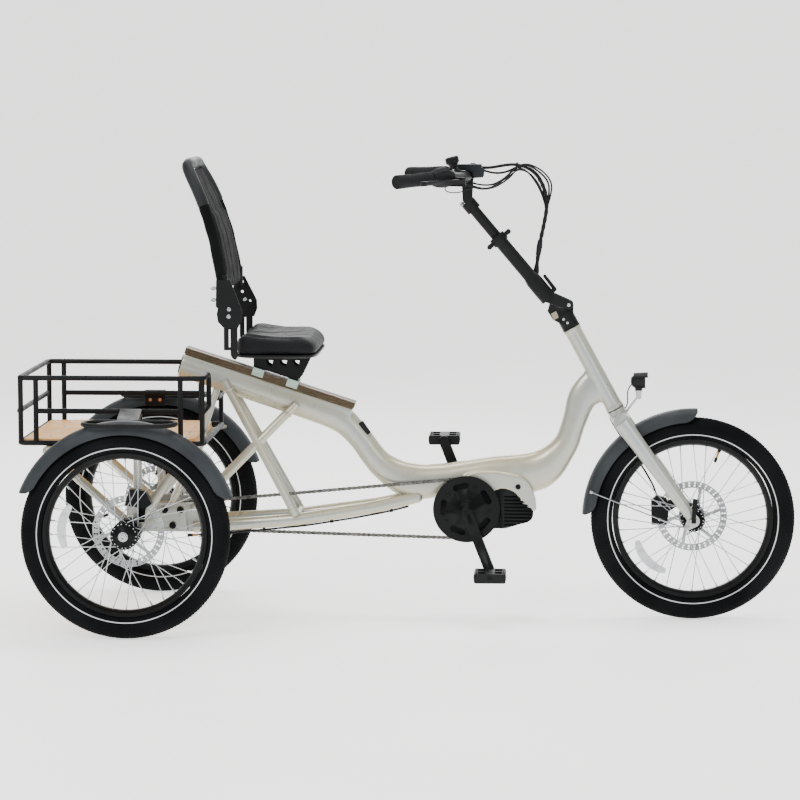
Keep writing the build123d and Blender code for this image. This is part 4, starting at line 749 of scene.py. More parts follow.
# ---------------------------------------------------------------- wheels
@dataclass
class Wheel:
    """One wheel: its tread, reflective lines, spoke nipples, valve and reflector."""

    prefix: str
    body: str
    y: float
    flange_radius: float
    flange_low: float
    flange_high: float
    valve_angle: float
    reflector_angle: float
    reflector_y: float
    tyre_radius: float = 260.0
    section_radius: float = 30.5
    bead_radius: float = 204.3
    rim_inner: float = 188.5
    line_radius: float = 217.0
    tread_height: float = 1.3
    blocks: int = 180
    rows: int = 9
    tread_reach: float = 95.0
    spokes_per_side: int = 18

    def centre(self) -> Array:
        """Middle of the wheel, in vehicle millimetres."""
        middle = vehicle_middle(f"{self.prefix}_rim")
        return np.array((middle[0], self.y, middle[2]))

    def build(self) -> None:
        """Build the wheel's pieces."""
        self.tyre()
        self.lines()
        self.nipples()
        self.valve()
        self.reflector()
        self.nut()
        for part, slot in (("rim", "black_alloy"), ("hub", "black_alloy")):
            smooth_copy(f"{self.prefix}_{part}", self.body, NODE_FINISHES[f"{self.prefix}_{part}"])

    def tyre(self) -> None:
        """Tyre as a grid round the wheel and round its own section. The section's radius is
        lowered by the tread's height, except on the blocks, which alternate row by row."""
        radius = self.section_radius
        middle = self.tyre_radius - radius
        bead = math.degrees(math.acos((self.bead_radius - middle) / radius))
        across = (np.arange(self.rows)[:, None] + np.array((0.06, 0.2, 0.8, 0.94))) / self.rows
        tread = (across.ravel() * 2 - 1) * self.tread_reach
        wall = np.linspace(self.tread_reach, bead, 10)[1:]
        section = np.radians(np.concatenate([-wall[::-1], tread, wall]))
        row = np.concatenate([np.full(9, -1), np.repeat(np.arange(self.rows), 4), np.full(9, -1)])
        raised = np.concatenate([np.zeros(9), np.tile((0.0, 1.0, 1.0, 0.0), self.rows), np.zeros(9)])
        step = np.arange(self.blocks * 4)[:, None] % 4
        even = (row[None] % 2 == 0) & (step < 2)
        odd = (row[None] % 2 == 1) & (step >= 2)
        block = raised[None] * (even | odd)
        ridge = 0.35 * (np.abs(np.degrees(np.abs(section)) - 128.0) < 5.0)
        lowered = radius - self.tread_height + self.tread_height * block + ridge * 1.2
        lowered = np.where(row[None] < 0, radius - self.tread_height + ridge[None] * 1.2, lowered)
        profile = np.stack([middle + lowered * np.cos(section), lowered * np.sin(section)], axis=-1)
        surface = about_y(profile, self.centre(), steps=self.blocks * 4)
        add_piece(f"{self.prefix}_tread_tyre", [surface], RUBBER, self.body,
                  (f"{self.prefix}_tyre",), sharp=50.0)

    def lines(self) -> None:
        """White line on each side wall, a thin band that follows the wall's slope."""
        radius = self.section_radius - self.tread_height
        middle = self.tyre_radius - self.section_radius
        angle = math.acos((self.line_radius - middle) / radius)
        spread = np.radians(2.5)
        angles = np.array((angle - spread, angle + spread, angle + spread, angle - spread))
        depths = np.array((radius + 0.45, radius + 0.45, radius - 0.6, radius - 0.6))
        rings = []
        for side in (-1.0, 1.0):
            profile = np.stack([middle + depths * np.cos(angles), side * depths * np.sin(angles)], axis=-1)
            rings.append(about_y(profile, self.centre(), steps=240))
        add_piece(f"{self.prefix}_white_lines", rings, LINE_WHITE, self.body)

    def spoke_ends(self) -> tuple[Array, Array]:
        """Hub end and rim end of every spoke, as rows round the wheel's middle."""
        k = np.tile(np.arange(self.spokes_per_side), 2)
        side = np.repeat((0, 1), self.spokes_per_side)
        step = 2 * math.pi / self.spokes_per_side
        lead = np.where(k % 2 == 0, 1, -1)
        rim_angle = step * k + side * step / 2
        hub_angle = rim_angle - lead * 2.9 * step
        hub_r = self.flange_radius - 4
        rim_r = self.rim_inner + 1.5
        flange_y = np.where(side == 0, self.flange_low, self.flange_high)
        toe = np.where(side == 0, -3, 3)
        hub = np.stack([hub_r * np.cos(hub_angle), flange_y + lead * 3.4, hub_r * np.sin(hub_angle)], axis=-1)
        rim = np.stack([rim_r * np.cos(rim_angle), toe + lead * 1.02, rim_r * np.sin(rim_angle)], axis=-1)
        return hub, rim

    def nipples(self) -> None:
        """Nipple at each spoke's rim end, and a spoke head on the hub flange."""
        hub, rim = self.spoke_ends()
        run = unit(hub - rim)
        side = unit(np.cross(run, np.array((0.0, 1.0, 0.0))))
        nipple = turned(np.array([(-1.0, 2.4), (5.0, 2.2), (6.0, 1.7), (13.0, 1.6)]), np.zeros(3),
                        np.array((0.0, 0.0, 1.0)), 8)
        heads = turned(np.array([(0.0, 1.7), (0.7, 1.6), (1.1, 0.9)]), np.zeros(3), np.array((0.0, 0.0, 1.0)), 10)
        centre = self.centre()
        outward = np.where(hub[:, 1] > (self.flange_low + self.flange_high) / 2, 1.0, -1.0)[:, None]
        flange_y = np.where(outward[:, 0] > 0, self.flange_high, self.flange_low)
        places = hub.copy()
        places[:, 1] = flange_y + outward[:, 0] * 4.9
        normal = outward * np.array((0.0, 1.0, 0.0))
        along_x = np.broadcast_to(np.array((1.0, 0.0, 0.0)), normal.shape)
        shapes = [copies(nipple, rim + centre, np.cross(side, run), side, run),
                  copies(heads, places + centre, along_x, np.cross(normal, along_x), normal)]
        add_piece(f"{self.prefix}_nipples", shapes, STEEL, self.body)

    def nut(self) -> None:
        """Silver nut and axle end on the outer side of a rear hub."""
        if not self.y:
            return
        side = math.copysign(1.0, self.y)
        face = self.centre() + np.array((0.0, side * 44.6, 0.0))
        out = np.array((0.0, side, 0.0))
        nut = turned(np.array([(0.0, 10.8), (4.6, 10.8), (5.6, 9.8), (5.6, 6.0)]), face, out, 6)
        washer = turned(np.array([(0.0, 11.9), (1.2, 11.9), (1.2, 9.0)]), face, out, 32)
        end = turned(np.array([(4.0, 5.2), (7.0, 5.2), (8.0, 4.2), (7.4, 1.6)]), face, out, 24)
        add_piece(f"{self.prefix}_axle_nut", [nut, washer, end], STEEL, self.body)

    def valve(self) -> None:
        """Valve stem with its brass thread and black cap, pointing at the hub."""
        angle = math.radians(self.valve_angle)
        out = np.array((math.cos(angle), 0.0, math.sin(angle)))
        foot = self.centre() + out * (self.rim_inner + 2)
        inward = -out
        base = turned(np.array([(0.0, 5.5), (3.0, 5.0), (8.0, 3.6)]), foot, inward, 16)
        stem_rows = np.linspace(8.0, 26.0, 37)
        thread = np.stack([stem_rows, 2.7 + 0.25 * (np.arange(37) % 2)], axis=-1)
        stem = turned(thread, foot, inward, 16)
        cap = turned(np.array([(24.0, 3.4), (25.0, 3.9), (34.0, 3.9), (36.0, 3.2), (36.6, 1.8)]), foot, inward, 16)
        add_piece(f"{self.prefix}_valve_stem", [stem], BRASS, self.body)
        add_piece(f"{self.prefix}_valve_cap", [base, cap], PLASTIC, self.body)

    def reflector(self) -> None:
        """Bar reflector clipped on the spokes: a crowned strip along an arc round the hub, with
        pointed ends and a raised frame."""
        middle = math.radians(self.reflector_angle)
        reach = np.radians(np.linspace(-20.5, 20.5, 33)) + middle
        share = np.linspace(-1.0, 1.0, 33)
        half = 11.0 * (1 - 0.45 * np.abs(share) ** 3)
        radius = 158.0 - 6.0 * share**2
        path = np.stack([radius * np.cos(reach), np.full(33, self.reflector_y), radius * np.sin(reach)], axis=-1)
        strip = tube(path + self.centre(), 3.2, half, 20, square=4.5)
        clips = []
        for k in (8, 24):
            out = unit(path[k] * np.array((1.0, 0.0, 1.0)))
            clips.append(tube(np.stack([path[k] + out * s for s in (-5.0, 0.0, 5.0)]) + self.centre(), 4.6, 6.0, 12,
                              square=5.0))
        add_piece(f"{self.prefix}_reflector", [strip], FROST, self.body)
        add_piece(f"{self.prefix}_reflector_clips", clips, FROST, self.body, bevel=0.5)


# ---------------------------------------------------------------- frame
@dataclass
class MainFrame:
    """The big swept tube with its seat saddle, head tube and motor cradle, as one welded shell."""

    rail_slope: float = 18.0
    rail_rear: tuple[float, float] = (115.0, 695.0)
    rail_length: float = 455.0
    rail_depth: float = 16.0
    head_bottom: tuple[float, float] = (1210.0, 540.0)
    head_angle: float = 61.4
    head_length: float = 236.0
    head_radius: float = 23.0
    motor_half: float = 44.0
    voxel: float = 2.6

    def on_rail(self, distance: float, offset: float = 0.0, y: float = 0.0) -> Array:
        """Point at a distance along the rail's top, and an offset square to it."""
        a = math.radians(-self.rail_slope)
        x = self.rail_rear[0] + distance * math.cos(a) - offset * math.sin(a)
        z = self.rail_rear[1] + distance * math.sin(a) + offset * math.cos(a)
        return np.array((x, y, z))

    def on_head(self, distance: float) -> Array:
        """Point at a distance up the head tube from its lower end."""
        a = math.radians(180 - self.head_angle)
        return np.array((self.head_bottom[0] + distance * math.cos(a), 0.0,
                         self.head_bottom[1] + distance * math.sin(a)))

    def spine(self) -> Array:
        """Rows of x, z, half height and half width along the big tube's middle line."""
        rows = [(*self.on_rail(d, -self.rail_depth - drop)[[0, 2]], high, wide)
                for d, drop, high, wide in ((0, 31, 33, 30), (210, 32, 34, 30), (345, 33, 35, 30))]
        rows += [(508, 510, 35, 30), (558, 462, 31, 29), (614, 392, 34, 31), (690, 352, 46, 34), (775, 355, 42, 35),
                 (895, 373, 43, 35), (1010, 379, 51, 34), (1079, 440, 34, 30), (1105, 505, 31, 27)]
        foot = self.on_head(78.0)
        rows += [(1128, 570, 38, 23), (foot[0], foot[2], 50, 17)]
        return np.array(rows, float)

    def big_tube(self) -> Surface:
        """Oval carried along the spine."""
        rows = through(self.spine(), 10)
        path = np.stack([rows[:, 0], np.zeros(len(rows)), rows[:, 1]], axis=-1)
        return tube(path, rows[:, 3], rows[:, 2], 40, square=2.25)

    def saddle(self) -> Surface:
        """Flat-topped bed of the seat rail, on the rear of the big tube."""
        ends = np.stack([self.on_rail(d, -self.rail_depth - 13.5) for d in (2.0, 228.0, self.rail_length - 2)])
        return tube(ends, 27.0, 13.0, 24, square=7.0)

    def head(self) -> list[Surface]:
        """Head tube with a thicker ring at each end."""
        up = unit(self.on_head(10.0) - self.on_head(0.0))
        r = self.head_radius
        length = self.head_length
        profile = [(0, r + 1.2), (7, r + 1.2), (10, r - 0.8), (length - 10, r - 0.8), (length - 7, r + 1.2),
                   (length, r + 1.2)]
        return [turned(np.array(profile, float), self.on_head(0.0), up, 48)]

    def cradle(self) -> Surface:
        """Motor cradle: a band that arches over the motor, between the motor's outline and a
        smooth outer edge."""
        crank = vehicle_middle("chainring")
        front = np.radians(np.linspace(128.0, 18.0, 14))
        disc_x, disc_z, disc_r = crank[0] + 92.0, crank[2] - 1.0, 50.6
        inner = [(disc_x + disc_r * math.cos(a), disc_z + disc_r * math.sin(a)) for a in front]
        inner += [(crank[0] + 169.0, crank[2] - 7.0)]
        outer = [(crank[0] + 178.0, crank[2] - 4.0), (crank[0] + 176.0, crank[2] + 20.0),
                 (crank[0] + 168.0, crank[2] + 48.0), (crank[0] + 156.0, crank[2] + 68.0),
                 (crank[0] + 138.0, crank[2] + 81.0), (crank[0] + 100.0, crank[2] + 90.0),
                 (crank[0] + 62.0, crank[2] + 94.0), (crank[0] + 20.0, crank[2] + 92.0),
                 (crank[0] - 6.0, crank[2] + 80.0), (crank[0] + 10.0, crank[2] + 60.0)]
        edge = through(np.array(outer), 5)
        outline = [tuple(row) for row in edge] + inner
        return side_plate(outline, -self.motor_half + 1.5, self.motor_half - 1.5)

    def build(self) -> None:
        """Weld the shapes into one shell and add its small fittings."""
        shell = join([self.big_tube(), self.saddle(), *self.head(), self.cradle()])
        made = add_piece("welded_main_frame", [shell], IVORY, "frame", ("main_frame",), sharp=180.0)
        weld_together(made, self.voxel, 7)
        self.fittings()

    def fittings(self) -> None:
        """Battery cap, charging port, headset cups and the cradle's bolts."""
        low = self.on_rail(0.0, -self.rail_depth - 32.0)
        back = unit(self.on_rail(-10.0, 0.0) - self.on_rail(0.0, 0.0))
        cap = turned(np.array([(-6.0, 24.5), (2.0, 24.5), (3.2, 23.0), (3.2, 12.0), (2.2, 11.0), (2.2, 4.0)]), low,
                     back, 40)
        add_piece("battery_cap", [cap], PLASTIC, "frame")
        port_path = np.stack([np.array((x, -31.5 + 0.02 * abs(x - 566.0), z)) for x, z in
                              ((556.0, 497.0), (566.0, 482.0), (577.0, 467.0))])
        port = tube(port_path + np.array((3.0, 18.0, 6.0)), 9.0, 8.5, 20, square=4.0)
        add_piece("charging_port", [port], PLASTIC, "frame", bevel=0.8)
        up = unit(self.on_head(10.0) - self.on_head(0.0))
        gap = turned(np.array([(-0.9, 23.4), (1.4, 23.4)]), self.on_head(-0.4), up, 40)
        top = turned(np.array([(0.0, 24.0), (2.5, 24.0), (4.0, 22.6)]), self.on_head(self.head_length - 0.5), up, 40)
        add_piece("headset_cups", [gap, top], ALLOY_BLACK, "frame")
        crank = vehicle_middle("chainring")
        heads = []
        for side in (-1.0, 1.0):
            places = [(crank[0] + 131.0, side * (self.motor_half - 2.2), crank[2] + 56.0)]
            heads.append(bolts_along_y(places, side, 7.0, 3.2))
        add_piece("motor_bolts", heads, ALLOY_BLACK, "frame")


def weld_together(made: bpy.types.Object, voxel: float, softening: int) -> None:
    """Turn overlapping closed shapes into one skin with soft joints: a fine voxel skin whose
    points are then drawn towards their neighbours.

    Args:
        made: the object.
        voxel: size of the voxels in millimetres.
        softening: how often each point moves halfway to its neighbours' mean.
    """
    skin = made.modifiers.new("skin", "REMESH")
    skin.mode = "VOXEL"
    skin.voxel_size = voxel * MM
    soft = made.modifiers.new("soft", "SMOOTH")
    soft.factor = 0.5
    soft.iterations = softening
    evaluated = made.evaluated_get(bpy.context.evaluated_depsgraph_get())
    mesh = bpy.data.meshes.new_from_object(evaluated)
    made.modifiers.clear()
    old = made.data
    mesh.materials.clear()
    mesh.materials.append(old.materials[0])
    made.data = mesh
    mesh.shade_smooth()
    bpy.data.meshes.remove(old)


def cut_out(made: bpy.types.Object, cutter: Surface) -> None:
    """Cut a closed surface out of an object's mesh."""
    mesh = bpy.data.meshes.new("cutter")
    rows: list[list[int]] = []
    for block in cutter.faces:
        rows.extend(block.tolist())
    mesh.from_pydata(to_frame(cutter.points).tolist(), [], rows)
    tool = bpy.data.objects.new("cutter", mesh)
    bpy.context.scene.collection.objects.link(tool)
    cut = made.modifiers.new("cut", "BOOLEAN")
    cut.operation = "DIFFERENCE"
    cut.solver = "EXACT"
    cut.object = tool
    result = evaluated_mesh(made)
    made.modifiers.clear()
    made.data = result
    finish_mesh(result, 38.0)
    bpy.data.objects.remove(tool)
    bpy.data.meshes.remove(mesh)


@dataclass
class RearFrame:
    """Details of the chain stays, struts, axle carrier and rear brakes."""


    def weld_ring(self, start: tuple[float, float, float], end: tuple[float, float, float], radius: float
                  ) -> Surface:
        """Weld bead round a tube at its start: a ring whose radius ripples round it."""
        a = np.array(start, float)
        direction = unit(np.array(end, float) - a)
        first = unit(np.cross(direction, (0.3, 1.0, 0.2)))
        second = np.cross(direction, first)
        angles = ring_angles(72)
        ripple = 0.35 * np.sin(angles * 24)
        middle = a + (radius + 0.6) * (np.cos(angles)[:, None] * first + np.sin(angles)[:, None] * second)
        out = unit(middle - a)
        section = ring_angles(8)
        size = (2.3 + ripple)[:, None, None]
        points = middle[:, None] + size * (np.cos(section)[None, :, None] * out[:, None]
                                           + np.sin(section)[None, :, None] * direction)
        return grid(points, close_u=True)

    def build(self) -> None:
        """Build the rear frame's details."""
        for node, slot in (("rear_frame", "ivory_paint"), ("axle_carrier", "ivory_paint"),
                           ("rear_calipers", "black_alloy")):
            smooth_copy(node, "frame", NODE_FINISHES[node], bevel=0.8)
        beads = []
        for start, end, radius in (((374, 37, 528), (133, 66, 283), 11), ((226, 34, 586), (399, 66, 268), 11),
                                   ((150, 64, 300), (398, 34, 552), 11), ((390, 64, 282), (213, 32, 610), 11)):
            bead = self.weld_ring(start, end, radius)
            beads += [bead, bead.mirrored()]
        add_piece("weld_beads", beads, IVORY, "frame")
        heads = []
        for x, z in ((64.0, 284.0), (104.0, 284.0), (84.0, 244.0)):
            heads.append(bolts_along_y([(x, -85.0, z)], -1.0, 9.0, 3.0))
            heads.append(bolts_along_y([(x, 85.0, z)], 1.0, 9.0, 3.0))
        add_piece("carrier_bolt_heads", heads, ALLOY_BLACK, "frame")
        clips = []
        for x, y, z in ((640.0, -27.0, 277.5), (488.0, -46.0, 251.5), (316.0, -61.0, 231.5)):
            clips.append(turned(np.array([(-4.0, 3.0), (-3.4, 4.2), (3.4, 4.2), (4.0, 3.0)]), np.array((x, y, z)),
                                np.array((1.0, -0.1, 0.15)), 16))
        add_piece("hose_clips", clips, PLASTIC, "frame")


@dataclass
class Fenders:
    """Arched guards of the three wheels, with rolled edges and rounded tips."""

    half: float = 36.0
    lip: float = 31.0
    wall: float = 2.5
    rear_radius: float = 283.0
    front_radius: float = 282.0
    track: float = 350.0

    def arch(self, radius: float, centre: Array, start: float, end: float, steps: int) -> Surface:
        """Guard between two angles. Its section is a rounded arch whose sides drop by the lip;
        towards each tip the arch keeps less of its sides, so that the corners are round.

        Args:
            radius: outer radius at the crown.
            centre: the wheel's middle.
            start: first angle in degrees.
            end: last angle in degrees.
            steps: rows made between them.

        Returns:
            The closed guard.
        """
        share = np.linspace(0.0, 1.0, steps)
        from_tip = np.minimum(share, 1 - share) * (end - start) * math.pi / 180 * radius
        rounding = np.clip(1 - from_tip / 34.0, 0.0, 1.0)
        reach = np.radians(90.0) * (1 - 0.55 * (1 - np.sqrt(1 - rounding**2)))
        t = reach[:, None] * np.linspace(-1.0, 1.0, 29)[None]
        profiles = []
        for inset in (0.0, self.wall):
            y = (self.half - inset) * np.sign(np.sin(t)) * np.abs(np.sin(t)) ** 0.85
            drop = (self.lip - inset * 0.2) * (1 - np.abs(np.cos(t)) ** 0.8)
            profiles.append(np.stack([radius - inset - drop, y], axis=-1))
        loop = np.concatenate([profiles[0], profiles[1][:, ::-1]], axis=1)
        return about_y(loop, centre, start, end, steps)

    def build(self) -> None:
        """Build the rear pair and the front guard with its stays."""
        rear = vehicle_middle("rear_left_rim")
        left = self.arch(self.rear_radius, np.array((0.0, self.track, rear[2])), 20.0, 158.0, 110)
        add_piece("rear_fender_shells", [left, left.mirrored()], FENDER, "frame", ("rear_fenders",))
        front = vehicle_middle("front_rim")
        shell = self.arch(self.front_radius, np.array((front[0], 0.0, front[2])), 88.0, 178.0, 80)
        crown = np.array((1226.0, 0.0, 511.0))
        aim = unit(crown - np.array((front[0], 0.0, front[2])))
        tab = turned(np.array([(0.0, 7.0), (36.0, 7.0)]), np.array((front[0], 0.0, front[2])) + aim * 279.5, aim, 20)
        add_piece("front_fender_shell", [shell, tab], FENDER, "steering", ("front_fender",))
        stays = []
        for side in (-1.0, 1.0):
            angle = math.radians(165.0)
            start = np.array((front[0] + 268.0 * math.cos(angle), side * 35.0, front[2] + 268.0 * math.sin(angle)))
            eye = np.array((front[0] - 30.0, side * 60.3, front[2] - 17.0))
            end = np.array((front[0] - 14.0, side * 60.3, front[2] - 17.0))
            wire = rounded(np.stack([start, (start + eye) / 2, eye, end]), 8)
            stays.append(tube(wire, 1.8, 1.8, 10))
            stays.append(bolts_along_y([(start[0], start[1] + side * 1.5, start[2])], side, 4.5, 3.0))
            stays.append(bolts_along_y([(end[0], end[1], end[2])], side, 4.5, 3.0))
        add_piece("front_fender_stays", stays, STEEL, "steering")


@dataclass
class Carrier:
    """Basket, cargo board and side grips."""

    deck_top: float = 480.0

    def build(self) -> None:
        """Build the carrier's details."""
        smooth_copy("basket", "frame", POWDER_BLACK)
        smooth_copy("side_grips", "frame", POWDER_BLACK)
        up = np.array((0.0, 0.0, 1.0))
        places = np.array([(x, y, self.deck_top - 0.4) for x in (-212.0, 126.0) for y in (-160.0, -60.0, 60.0, 160.0)])
        screws = copies(bolt_head(6.0, 1.8), places, np.array((1.0, 0.0, 0.0)), np.array((0.0, 1.0, 0.0)), up)
        add_piece("board_screws", [screws], STEEL, "frame")
        bolts = []
        plates = []
        for side in (-1.0, 1.0):
            low, high = sorted((side * 229.8, side * 233.4))
            plates.append(side_plate([(-26, 558), (28, 558), (28, 516), (-26, 516)], low, high))
            bolts.append(bolts_along_y([(-12.0, side * 229.8, 532.0), (14.0, side * 229.8, 532.0)], -side, 4.6, 3.0))
        add_piece("grip_plates", plates, POWDER_BLACK, "frame", bevel=0.6)
        add_piece("grip_bolts", bolts, COPPER, "frame")


# ---------------------------------------------------------------- drive
@dataclass
class Drive:
    """Chain, crank details, pedals' reflectors and motor fittings."""

    pitch: float = 12.7
    ring_teeth: int = 38
    sprocket_teeth: int = 13
    chain_y: float = -44.0
    crank_angle: float = -68.5
    crank_length: float = 170.0

    def pitch_radius(self, teeth: int) -> float:
        """Radius of the circle through the chain's rollers."""
        return self.pitch / 2 / math.sin(math.pi / teeth)

    def loop(self, distances: Array) -> tuple[Array, float]:
        """Points at distances along the chain's loop: a straight upper run, an
        arc round the sprocket, a straight lower run and an arc round the ring.

        Args:
            distances: how far along the loop.

        Returns:
            The points, and the length of the whole loop.
        """
        crank = vehicle_middle("chainring")[[0, 2]]
        axle = vehicle_middle("rear_left_rim")[[0, 2]] * np.array((0.0, 1.0))
        big = self.pitch_radius(self.ring_teeth)
        small = self.pitch_radius(self.sprocket_teeth)
        gap = float(np.linalg.norm(axle - crank))
        heading = math.atan2(*(axle - crank)[::-1])
        lean = math.acos((big - small) / gap)
        run = math.sqrt(gap**2 - (big - small) ** 2)
        top = heading - lean
        arc_small = 2 * lean * small
        arc_big = (2 * math.pi - 2 * lean) * big
        total = 2 * run + arc_small + arc_big
        s = distances % total
        links = [np.array((math.cos(top), math.sin(top))), np.array((math.cos(heading + lean),
                                                                     math.sin(heading + lean)))]
        start_top = crank + big * links[0]
        end_top = axle + small * links[0]
        start_low = axle + small * links[1]
        end_low = crank + big * links[1]
        edges = (run, run + arc_small, 2 * run + arc_small)
        on_top = start_top + (s / run)[:, None] * (end_top - start_top)
        turn_small = top + (s - edges[0]) / small
        round_small = axle + small * np.stack([np.cos(turn_small), np.sin(turn_small)], axis=-1)
        on_low = start_low + ((s - edges[1]) / run)[:, None] * (end_low - start_low)
        turn_big = heading + lean + (s - edges[2]) / big
        round_big = crank + big * np.stack([np.cos(turn_big), np.sin(turn_big)], axis=-1)
        parts = [s < edges[0], s < edges[1], s < edges[2]]
        flat = np.where(parts[0][:, None], on_top, np.where(parts[1][:, None], round_small,
                        np.where(parts[2][:, None], on_low, round_big)))
        return np.stack([flat[:, 0], np.full(len(s), self.chain_y), flat[:, 1]], axis=-1), total

    def chain(self) -> None:
        """Chain of plates, rollers and pins, one link for each pitch along the loop."""
        total = self.loop(np.zeros(1))[1]
        count = 2 * round(total / self.pitch / 2)
        pins = self.loop(np.arange(count) * total / count)[0]
        ahead = np.roll(pins, -1, axis=0)
        direction = unit(ahead - pins)
        y_axis = np.broadcast_to(np.array((0.0, 1.0, 0.0)), direction.shape)
        up = np.cross(direction, y_axis)
        a = np.linspace(-100.0, 100.0, 7)
        end = np.radians(a)
        lobe = np.stack([6.35 + 4.3 * np.cos(end), 4.3 * np.sin(end)], axis=-1)
        outline = np.concatenate([lobe, [(0.0, 3.2)], -lobe, [(0.0, -3.2)]])
        plates = []
        for inner, kind in ((3.0, 0), (1.9, 1)):
            flat = []
            for side in (-1.0, 1.0):
                rows = np.stack([outline[:, 0], np.full(16, side * inner), outline[:, 1]], axis=-1)
                flat.append(prism(rows, (0.0, side * 0.9, 0.0)))
            pick = np.arange(count) % 2 == kind
            middles = ((pins + ahead) / 2)[pick]
            plates.append(copies(join(flat), middles, direction[pick], y_axis[pick], up[pick]))
        roller = turned(np.array([(-1.9, 3.7), (1.9, 3.7)]), np.zeros(3), np.array((0.0, 1.0, 0.0)), 8)
        pin = turned(np.array([(-4.0, 1.4), (-3.9, 1.8), (3.9, 1.8), (4.0, 1.4)]), np.zeros(3),
                     np.array((0.0, 1.0, 0.0)), 8)
        shapes = plates + [copies(join([roller, pin]), pins, direction, y_axis, up)]
        add_piece("link_chain", shapes, CHAIN_STEEL, "frame", ("chain",))

    def pedal_centre(self, side: float) -> Array:
        """Middle of a pedal: -1 for the right one and 1 for the left one."""
        crank = vehicle_middle("chainring")
        angle = math.radians(self.crank_angle if side < 0 else self.crank_angle + 180)
        return np.array((crank[0] + self.crank_length * math.cos(angle), side * 141.0,
                         crank[2] + self.crank_length * math.sin(angle)))

    def pedals(self) -> None:
        """Amber reflectors at the front and back of each pedal, and grip studs on its cage."""
        for side, body, name in ((-1.0, "right_pedal", "right"), (1.0, "left_pedal", "left")):
            centre = self.pedal_centre(side)
            bars = []
            frames = []
            for end in (-1.0, 1.0):
                path = np.stack([centre + np.array((end * 39.6, y, 0.0)) for y in (-27.0, -10.0, 10.0, 27.0)])
                bars.append(tube(path, 1.9, 6.4, 20, reference=(1.0, 0.0, 0.0), square=6.0))
                path_frame = np.stack([centre + np.array((end * 38.6, y, 0.0)) for y in (-33.0, -10.0, 10.0, 33.0)])
                frames.append(tube(path_frame, 1.7, 9.5, 20, reference=(1.0, 0.0, 0.0), square=6.0))
            studs = np.array([(x, y, z) for x in (-34.0, 34.0) for y in (-36.0, -18.0, 0.0, 18.0, 36.0)
                              for z in (-11.6, 11.6)])
            stud = turned(np.array([(-1.0, 2.2), (1.6, 1.9)]), np.zeros(3), np.array((0.0, 0.0, 1.0)), 10)
            tops = np.sign(studs[:, 2:]) * np.array((0.0, 0.0, 1.0))
            x_axis = np.broadcast_to(np.array((1.0, 0.0, 0.0)), tops.shape)
            cage = copies(stud, studs + centre, x_axis, np.cross(tops, x_axis), tops)
            add_piece(f"{name}_pedal_reflectors", bars, AMBER, body, bevel=0.4)
            add_piece(f"{name}_pedal_studs", [cage, *frames], PLASTIC, body, bevel=0.3)
            smooth_copy(f"pedal_{name}", body, PLASTIC, bevel=0.8)

    def crank_caps(self) -> None:
        """Crank bolt caps at both ends of the spindle, and the ring's five bolts."""
        crank = vehicle_middle("chainring")
        shapes = []
        for side in (-1.0, 1.0):
            cap = turned(np.array([(0.0, 11.0), (1.6, 11.0), (2.4, 10.0), (2.4, 6.0), (1.0, 5.5), (1.0, 2.0)]),
                         np.array((crank[0], side * 90.6, crank[2])), np.array((0.0, side, 0.0)), 28)
            shapes.append(cap)
        add_piece("crank_caps", shapes, ALLOY_BLACK, "crank")
        turns = np.radians(72.0 * np.arange(5) + 68.0)
        places = [(crank[0] + 60.0 * math.cos(a), -60.0, crank[2] + 60.0 * math.sin(a)) for a in turns]
        add_piece("ring_bolts", [bolts_along_y(places, -1.0, 5.2, 2.4)], ALLOY_BLACK, "crank")
        edge = about_y(np.array([(85.2, -60.2), (85.2, -56.8), (82.4, -56.4), (82.4, -60.6)]),
                       np.array((crank[0], 0.0, crank[2])), steps=120)
        add_piece("guard_edge", [edge], MOTOR, "crank")

    def motor(self) -> None:
        """Domed cover on the motor's left face, and its screws."""
        crank = vehicle_middle("chainring")
        cover = turned(np.array([(-1.0, 47.0), (2.2, 46.0), (4.2, 42.0), (5.0, 30.0), (5.2, 12.0)]),
                       np.array((crank[0], 44.0, crank[2])), np.array((0.0, 1.0, 0.0)), 60)
        add_piece("motor_cover", [cover], MOTOR, "frame")
        turns = np.radians(np.arange(6) * 60.0 + 20.0)
        places = [(crank[0] + 52.5 * math.cos(a), 43.6, crank[2] + 52.5 * math.sin(a)) for a in turns]
        add_piece("motor_screws", [bolts_along_y(places, 1.0, 3.4, 2.2)], STEEL, "frame")

    def build(self) -> None:
        """Build the drive's pieces."""
        self.chain()
        self.pedals()
        self.crank_caps()
        self.motor()
        for node, body, slot in (("crankset", "crank", "black_alloy"), ("chainring", "crank", "black_alloy"),
                                 ("motor_unit", "frame", "motor_black")):
            smooth_copy(node, body, NODE_FINISHES[node])


